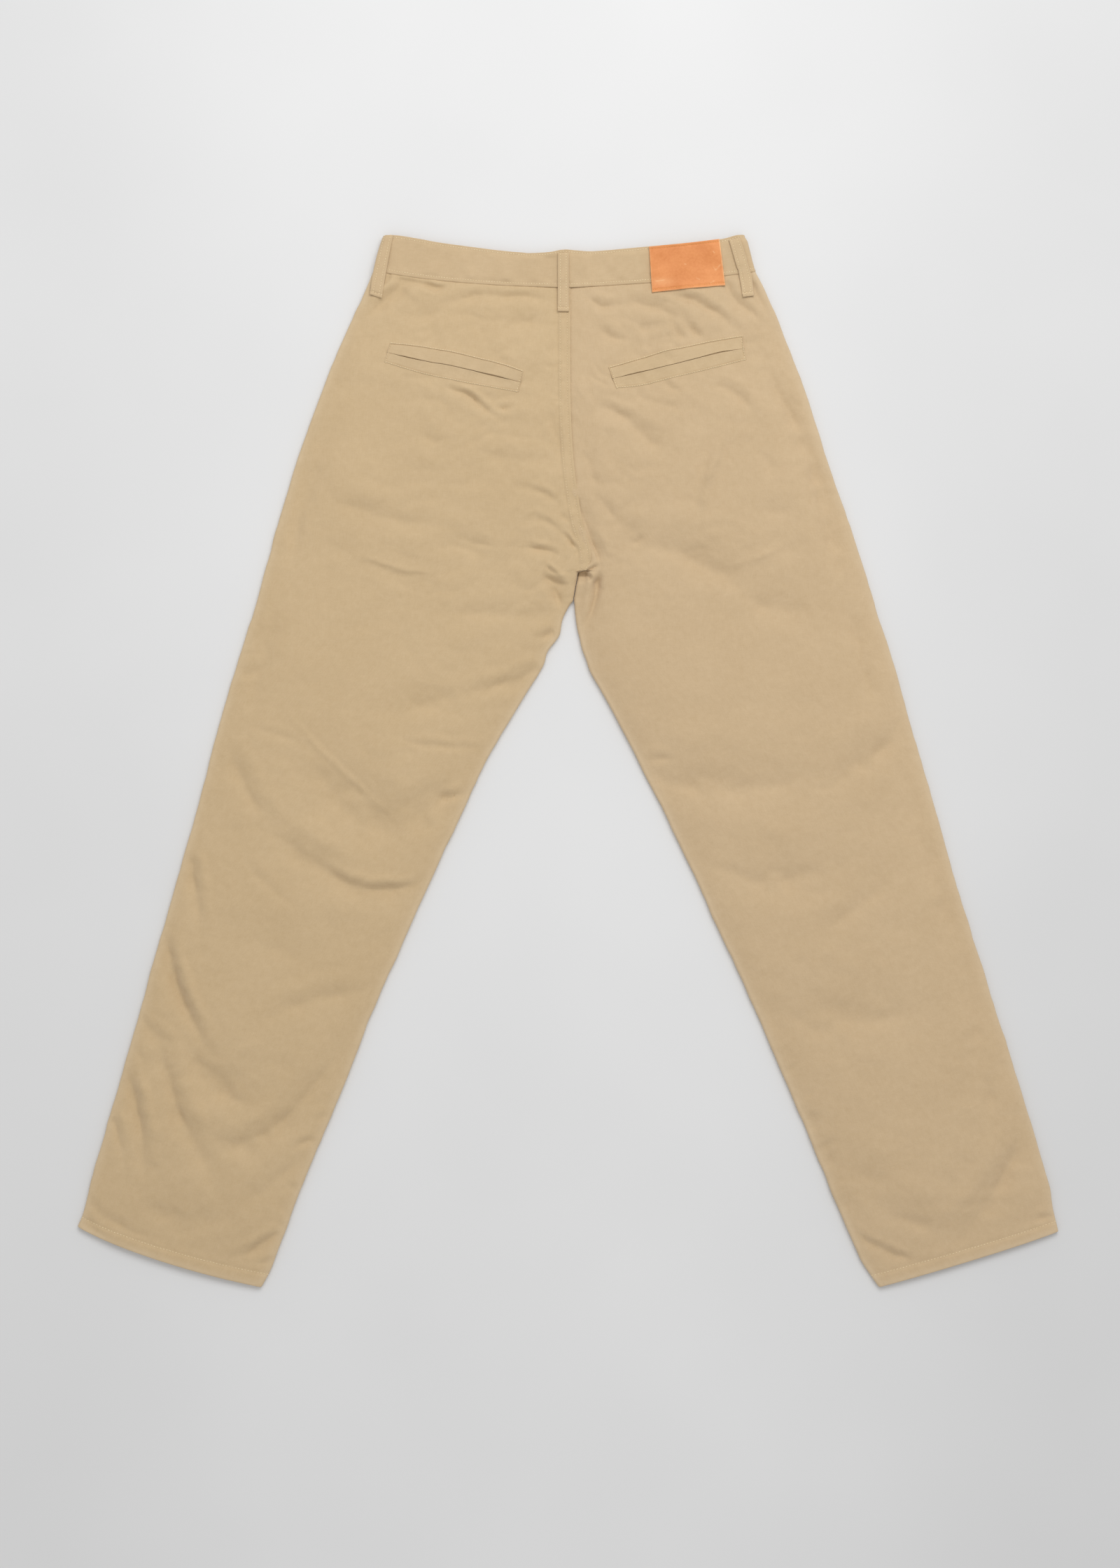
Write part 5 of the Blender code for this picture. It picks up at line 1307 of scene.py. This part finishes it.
def stitch_tree():
    """Geometry Nodes that lay one rounded stitch after another along each path."""
    tree = bpy.data.node_groups.new("stitch_rows", "GeometryNodeTree")
    tree.interface.new_socket("Paths", in_out="INPUT", socket_type="NodeSocketGeometry")
    for label in ("Pitch", "Stitch Length", "Thread Width", "Thread Height"):
        tree.interface.new_socket(label, in_out="INPUT", socket_type="NodeSocketFloat")
    tree.interface.new_socket("Seed", in_out="INPUT", socket_type="NodeSocketInt")
    tree.interface.new_socket("Thread", in_out="INPUT", socket_type="NodeSocketMaterial")
    tree.interface.new_socket("Stitches", in_out="OUTPUT", socket_type="NodeSocketGeometry")
    given, done = tree.nodes.new("NodeGroupInput").outputs, tree.nodes.new("NodeGroupOutput")
    curve = add(tree, "GeometryNodeMeshToCurve", {"Mesh": given["Paths"]})
    spots = add(tree, "GeometryNodeCurveToPoints", {"Curve": curve.outputs[0], "Length": given["Pitch"]}, mode="LENGTH")
    sizes = {"X": given["Stitch Length"], "Y": given["Thread Width"], "Z": given["Thread Height"]}
    size = add(tree, "ShaderNodeCombineXYZ", sizes)
    bead = add(tree, "GeometryNodeMeshUVSphere", {"Segments": 6, "Rings": 5, "Radius": 0.5})
    stitch = add(tree, "GeometryNodeTransform", {"Geometry": bead.outputs["Mesh"], "Scale": size.outputs[0]})
    out = add(tree, "GeometryNodeInputNamedAttribute", {"Name": "out"}, data_type="FLOAT_VECTOR")
    along = add(tree, "FunctionNodeAlignRotationToVector", {"Vector": spots.outputs["Tangent"]}, axis="X")
    facing_out = {"Rotation": along.outputs[0], "Vector": out.outputs["Attribute"]}
    upright = add(tree, "FunctionNodeAlignRotationToVector", facing_out, axis="Z", pivot_axis="X")
    spread = {"Min": (0.86, 0.9, 0.9), "Max": (1.08, 1.12, 1.1), "Seed": given["Seed"]}
    uneven = add(tree, "FunctionNodeRandomValue", spread, data_type="FLOAT_VECTOR")
    laid = add(tree, "GeometryNodeInstanceOnPoints", {
        "Points": spots.outputs["Points"], "Instance": stitch.outputs[0], "Rotation": upright.outputs[0],
        "Scale": uneven.outputs["Value"],
    })
    real = add(tree, "GeometryNodeRealizeInstances", {"Geometry": laid.outputs[0]})
    smooth = add(tree, "GeometryNodeSetShadeSmooth", {"Geometry": real.outputs[0]})
    thread = add(tree, "GeometryNodeSetMaterial", {"Geometry": smooth.outputs[0], "Material": given["Thread"]})
    tree.links.new(thread.outputs[0], done.inputs[0])
    return tree


STITCH_ROWS = stitch_tree()
PATH_STEP = 1.6  # spacing of the points that a row of stitches follows


def sew(name, tree, rows, thread, pitch=2.7, length=2.1, width=0.85, height=0.5, below=False, seed=1):
    """Rows of stitches laid on the surface that the tree knows; each row is a list of (x, y)."""
    points, edges, normals = [], [], []
    start, way = (BELOW, 1) if below else (ABOVE, -1)
    for row in rows:
        row = np.array(row)
        run = run_along(row)
        runs = np.linspace(0, run[-1], max(2, int(run[-1] / PATH_STEP)) + 1)
        joined = False
        for x, y in zip(*(np.interp(runs, run, column) for column in row.T)):
            hit, normal, _, _ = tree.ray_cast(Vector((x * MM, y * MM, start)), Vector((0, 0, way)))
            if hit is not None:
                normal = -normal if normal.z * way > 0 else normal
                points.append(hit + normal * (height * 0.12 * MM))
                normals.append(tuple(normal))
                if joined:
                    edges.append((len(points) - 2, len(points) - 1))
            joined = hit is not None
    mesh = bpy.data.meshes.new(name + "_paths")
    mesh.from_pydata(points, edges, [])
    mesh.attributes.new("out", "FLOAT_VECTOR", "POINT").data.foreach_set("vector", np.array(normals).ravel())
    path = linked(name + "_paths", mesh)
    modifier = path.modifiers.new("stitches", "NODES")
    modifier.node_group = STITCH_ROWS
    sockets = {s.name: s.identifier for s in STITCH_ROWS.interface.items_tree if s.in_out == "INPUT"}
    sizes = {"Pitch": pitch, "Stitch Length": length, "Thread Width": width, "Thread Height": height}
    for label, value in sizes.items():
        modifier[sockets[label]] = value * MM
    modifier[sockets["Seed"]], modifier[sockets["Thread"]] = seed, thread
    stitches = evaluated_mesh(path)
    bpy.data.objects.remove(path, do_unlink=True)
    if "out" in stitches.attributes:
        stitches.attributes.remove(stitches.attributes["out"])
    piece = linked(name, stitches)
    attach(piece, "root")
    return piece


def line_at(shape, distance):
    """A line down the rows of a leg at one distance, or one distance a row, from the outer end."""
    return plan(shape, np.broadcast_to(distance, shape.width.shape)[:, None])[:, 0]


backs, fronts, facings, bands = {}, {}, {}, {}
for leg in LEGS:
    backs[leg] = make_piece("back_panel_" + leg, wall_between(*back_panel(leg)), BACK_TWILL[leg], "back_" + leg)
    fronts[leg] = make_piece("front_panel_" + leg, wall_between(*front_panel(leg)), TWILL, "front_" + leg)
    facings[leg] = make_piece("pocket_facing_" + leg, wall_between(*facing(leg)), TWILL, "facing_" + leg)
    bands[leg] = make_piece("waistband_half_" + leg, tube_of(waistband(leg)), TWILL, "waistband_" + leg)
for leg, piece in backs.items():
    # painted rim light: the back panels go paler along their folds
    write_rubbing_and_rim_light(piece, painted_rim_light(leg, *points_of(piece)[:, :2].T))
top_tree = tree_of(*backs.values(), *bands.values())
low_tree = tree_of(*fronts.values(), *facings.values(), *backs.values(), *bands.values())

loops = {
    key: make_piece(name, tube_of(rings), TWILL, node)
    for key, name, rings, node in (
        ("centre", "belt_loop_centre", belt_loop(top_tree, *LOOP_EDGES["centre"]), "loop_back_centre"),
        ("right", "belt_loop_right", belt_loop(top_tree, *LOOP_EDGES["right"]), "loop_back_right"),
        ("left", "belt_loop_left", side_loop(), "loop_back_left"),
        ("front_left", "front_belt_loop_left", front_loop(-FRONT_LOOP_X), "loop_front_left"),
        ("front_right", "front_belt_loop_right", front_loop(FRONT_LOOP_X), "loop_front_right"),
    )
}
welts = {
    (leg, which): make_piece(
        f"pocket_welt_{leg}_{which}", tube_of(welt(top_tree, leg, which)), WELT_TWILL, f"welt_{leg}_{which}"
    )
    for leg in LEGS
    for which in ("upper", "lower")
}
patch = make_piece("leather_patch", wall_between(*leather_patch(top_tree)), LEATHER, "patch")
patch.data.materials.append(CUT_LEATHER)
write_rubbing_and_rim_light(patch, patch_wear(*points_of(patch)[:, :2].T))
for polygon in patch.data.polygons:
    if abs(polygon.normal.z) < 0.6:
        polygon.material_index = 1
make_piece("waist_button_disc", waist_button(), HORN, "waist_button", angle=35)

# ---- stitches ----
upper_seam = rows_of(SHAPES["left"], SHAPES["left"].inner[:, 1] > SEAM_END_Y + 1.2)
seam_rows = [
    line_at(upper_seam, upper_seam.width - np.maximum(offset - upper_seam.seam_end, 1.0)) for offset in SEAM_ROWS
]
sew("seat_seam_stitches", top_tree, seam_rows, SEAM_THREAD, width=0.8, seed=3)

band_rows, under_rows = [], []
for leg in LEGS:
    corner = BAND_CORNERS[leg][0][0]
    for rows, start, end in (
        (band_rows, -1.0, abs(CENTRE_BACK_X - corner) - 3.2),
        (under_rows, 2 - BAND_ROLL - abs(FRONT_MIDDLE_X - corner), -BAND_ROLL - 0.5),
    ):
        for share in (BAND_ROWS[0] / BAND_DEPTH, 1 - BAND_ROWS[1] / BAND_DEPTH):
            rows.append(band_spot(leg, np.linspace(start, end, 90), share, 0)[:, :2])
band_tree = tree_of(*bands.values())
sew("waistband_stitches", band_tree, band_rows, THREAD, seed=4)
sew("waistband_front_stitches", band_tree, under_rows, THREAD, below=True, seed=5)

hem_rows, hem_under_rows = [], []
for leg in LEGS:
    near = rows_of(SHAPES[leg], [np.argmin(abs(SHAPES[leg].to_hem - HEM_ROW))])
    for rows, inset in ((hem_rows, 1.2), (hem_under_rows, 2.0)):
        rows.append(plan(near, np.linspace(inset, near.width[0] - inset, 120)[None])[0])
sew("hem_stitches", tree_of(*backs.values()), hem_rows, THREAD, pitch=3.3, length=2.4, seed=6)
sew("hem_front_stitches", low_tree, hem_under_rows, THREAD, pitch=3.3, length=2.4, below=True, seed=7)

pocket_rows = []
for leg in LEGS:
    upper, _, lower = POCKETS[leg]
    above = along_line(upper, np.linspace(0, 1, 60)) + (0, POCKET_ROW)
    under = along_line(lower, np.linspace(0, 1, 60)) - (0, POCKET_ROW)
    ends = [np.array([above[k], under[k]]) + (out, 0) for k, out in ((0, -POCKET_ROW_END), (-1, POCKET_ROW_END))]
    pocket_rows += [above, under, *ends]
pocket_tree = tree_of(*backs.values(), *welts.values())
sew("back_pocket_stitches", pocket_tree, pocket_rows, THREAD, pitch=2.5, length=1.95, width=0.8, seed=8)

loop_rows = []
for name in ("centre", "right"):
    left_edge, right_edge = (along_line(edge, np.linspace(0.03, 0.95, 40)) for edge in LOOP_EDGES[name])
    way = (right_edge - left_edge) / np.linalg.norm(right_edge - left_edge, axis=1)[:, None]
    a, b = (along_line(edge, [0.932])[0] for edge in LOOP_EDGES[name])
    loop_rows += [left_edge + way * LOOP_ROW, right_edge - way * LOOP_ROW, (a + (b - a) * 0.1, a + (b - a) * 0.9)]
arm = np.array(side_loop())[..., :2]
loop_rows += [arm[:-3, 5], arm[:-3, 13], arm[-4, 4:17]]
loop_tree = tree_of(loops["centre"], loops["right"], loops["left"])
sew("belt_loop_stitches", loop_tree, loop_rows, THREAD, pitch=2.7, length=2.1, width=0.75, seed=9)
front_loop_rows = []
for x in (-FRONT_LOOP_X, FRONT_LOOP_X):
    top, low = front_loop_ends(x)
    row = LOOP_WIDTH / 2 - LOOP_ROW
    front_loop_rows += [((x + s, top - 3), (x + s, low + 1)) for s in (-row, row)]
    front_loop_rows.append(((x - 4.4, low + LOOP_TACK), (x + 4.4, low + LOOP_TACK)))
front_loop_tree = tree_of(loops["front_left"], loops["front_right"])
sew("front_belt_loop_stitches", front_loop_tree, front_loop_rows, THREAD, pitch=2.8, length=2.2, width=0.5, height=0.3,
    below=True, seed=10)

a, b, c, d = np.array(PATCH_CORNERS)
patch_rows = []
for start, end, inward, inset in ((a, b, d - a, PATCH_ROWS[0]), (d, c, a - d, PATCH_ROWS[1])):
    along = (end - start) / np.linalg.norm(end - start) * 1.6
    inward = inward / np.linalg.norm(inward) * inset
    patch_rows.append((start + inward + along, end + inward - along))
sew("patch_stitches", tree_of(patch), patch_rows, PATCH_THREAD, pitch=2.4, length=1.7, width=0.75,
    seed=11)

fly = rows_of(SHAPES["left"], SHAPES["left"].down < FLY_ROW_END)
fly_edge = fly.width + FLY_LAP * np.maximum(0, 1 - fly.down / FLY_LENGTH)
bend = np.sqrt(1 - np.clip((fly.down - FLY_BEND) / (FLY_ROW_END - FLY_BEND), 0, 1) ** 2)
front_rows = [line_at(fly, fly_edge - 3 - reach * bend)[2:] for reach in (33, 27)]
for leg in LEGS:
    shape = rows_of(SHAPES[leg], pocket_slant(SHAPES[leg]) >= LEAST_FACING)
    front_rows += [line_at(shape, UNDERSIDE + pocket_slant(shape) + inset) for inset in (1.8, 7.6)]
sew("front_stitches", low_tree, front_rows, THREAD, below=True, seed=12)

# ---- floor, light and camera, metres ----
FLOOR_REACH, FLOOR_HEIGHT = 6, -0.0003
floor_corners = [(x * FLOOR_REACH, y * FLOOR_REACH, FLOOR_HEIGHT) for x, y in ((-1, -1), (1, -1), (1, 1), (-1, 1))]
floor_mesh = bpy.data.meshes.new("floor")
floor_mesh.from_pydata(floor_corners, [], [(0, 1, 2, 3)])
floor_mesh.materials.append(paper_finish("pale_paper"))
floor = linked("floor", floor_mesh)

scene = bpy.context.scene
world = bpy.data.worlds.new("soft_room")
world.use_nodes = True
fill(world.node_tree, world.node_tree.nodes["Background"], {"Color": (1.0, 1.0, 1.0, 1.0), "Strength": 0.61})
scene.world = world

window = bpy.data.lights.new("window", "AREA")
window.shape, window.size, window.size_y, window.energy = "RECTANGLE", 2.4, 1.6, 39.6
lamp = linked("window", window)
lamp.location = (0.45, 1.7, 2.2)
lamp.rotation_euler = (Vector((0.0, 0.1, 0.0)) - lamp.location).to_track_quat("-Z", "Y").to_euler()

SENSOR = 36.0  # millimetres
CAMERA_HEIGHT = 2.6
VIEW_HEIGHT = 1.6128  # how much of the floor the view takes in from top to bottom
camera_data = bpy.data.cameras.new("camera")
camera_data.sensor_fit, camera_data.sensor_height = "VERTICAL", SENSOR
camera_data.lens = SENSOR * CAMERA_HEIGHT / VIEW_HEIGHT
camera_data.clip_end = 50
scene.camera = linked("camera", camera_data)
scene.camera.location = (-0.00828, -0.02376, CAMERA_HEIGHT)
scene.view_settings.view_transform = "Standard"
scene.view_settings.look = "None"
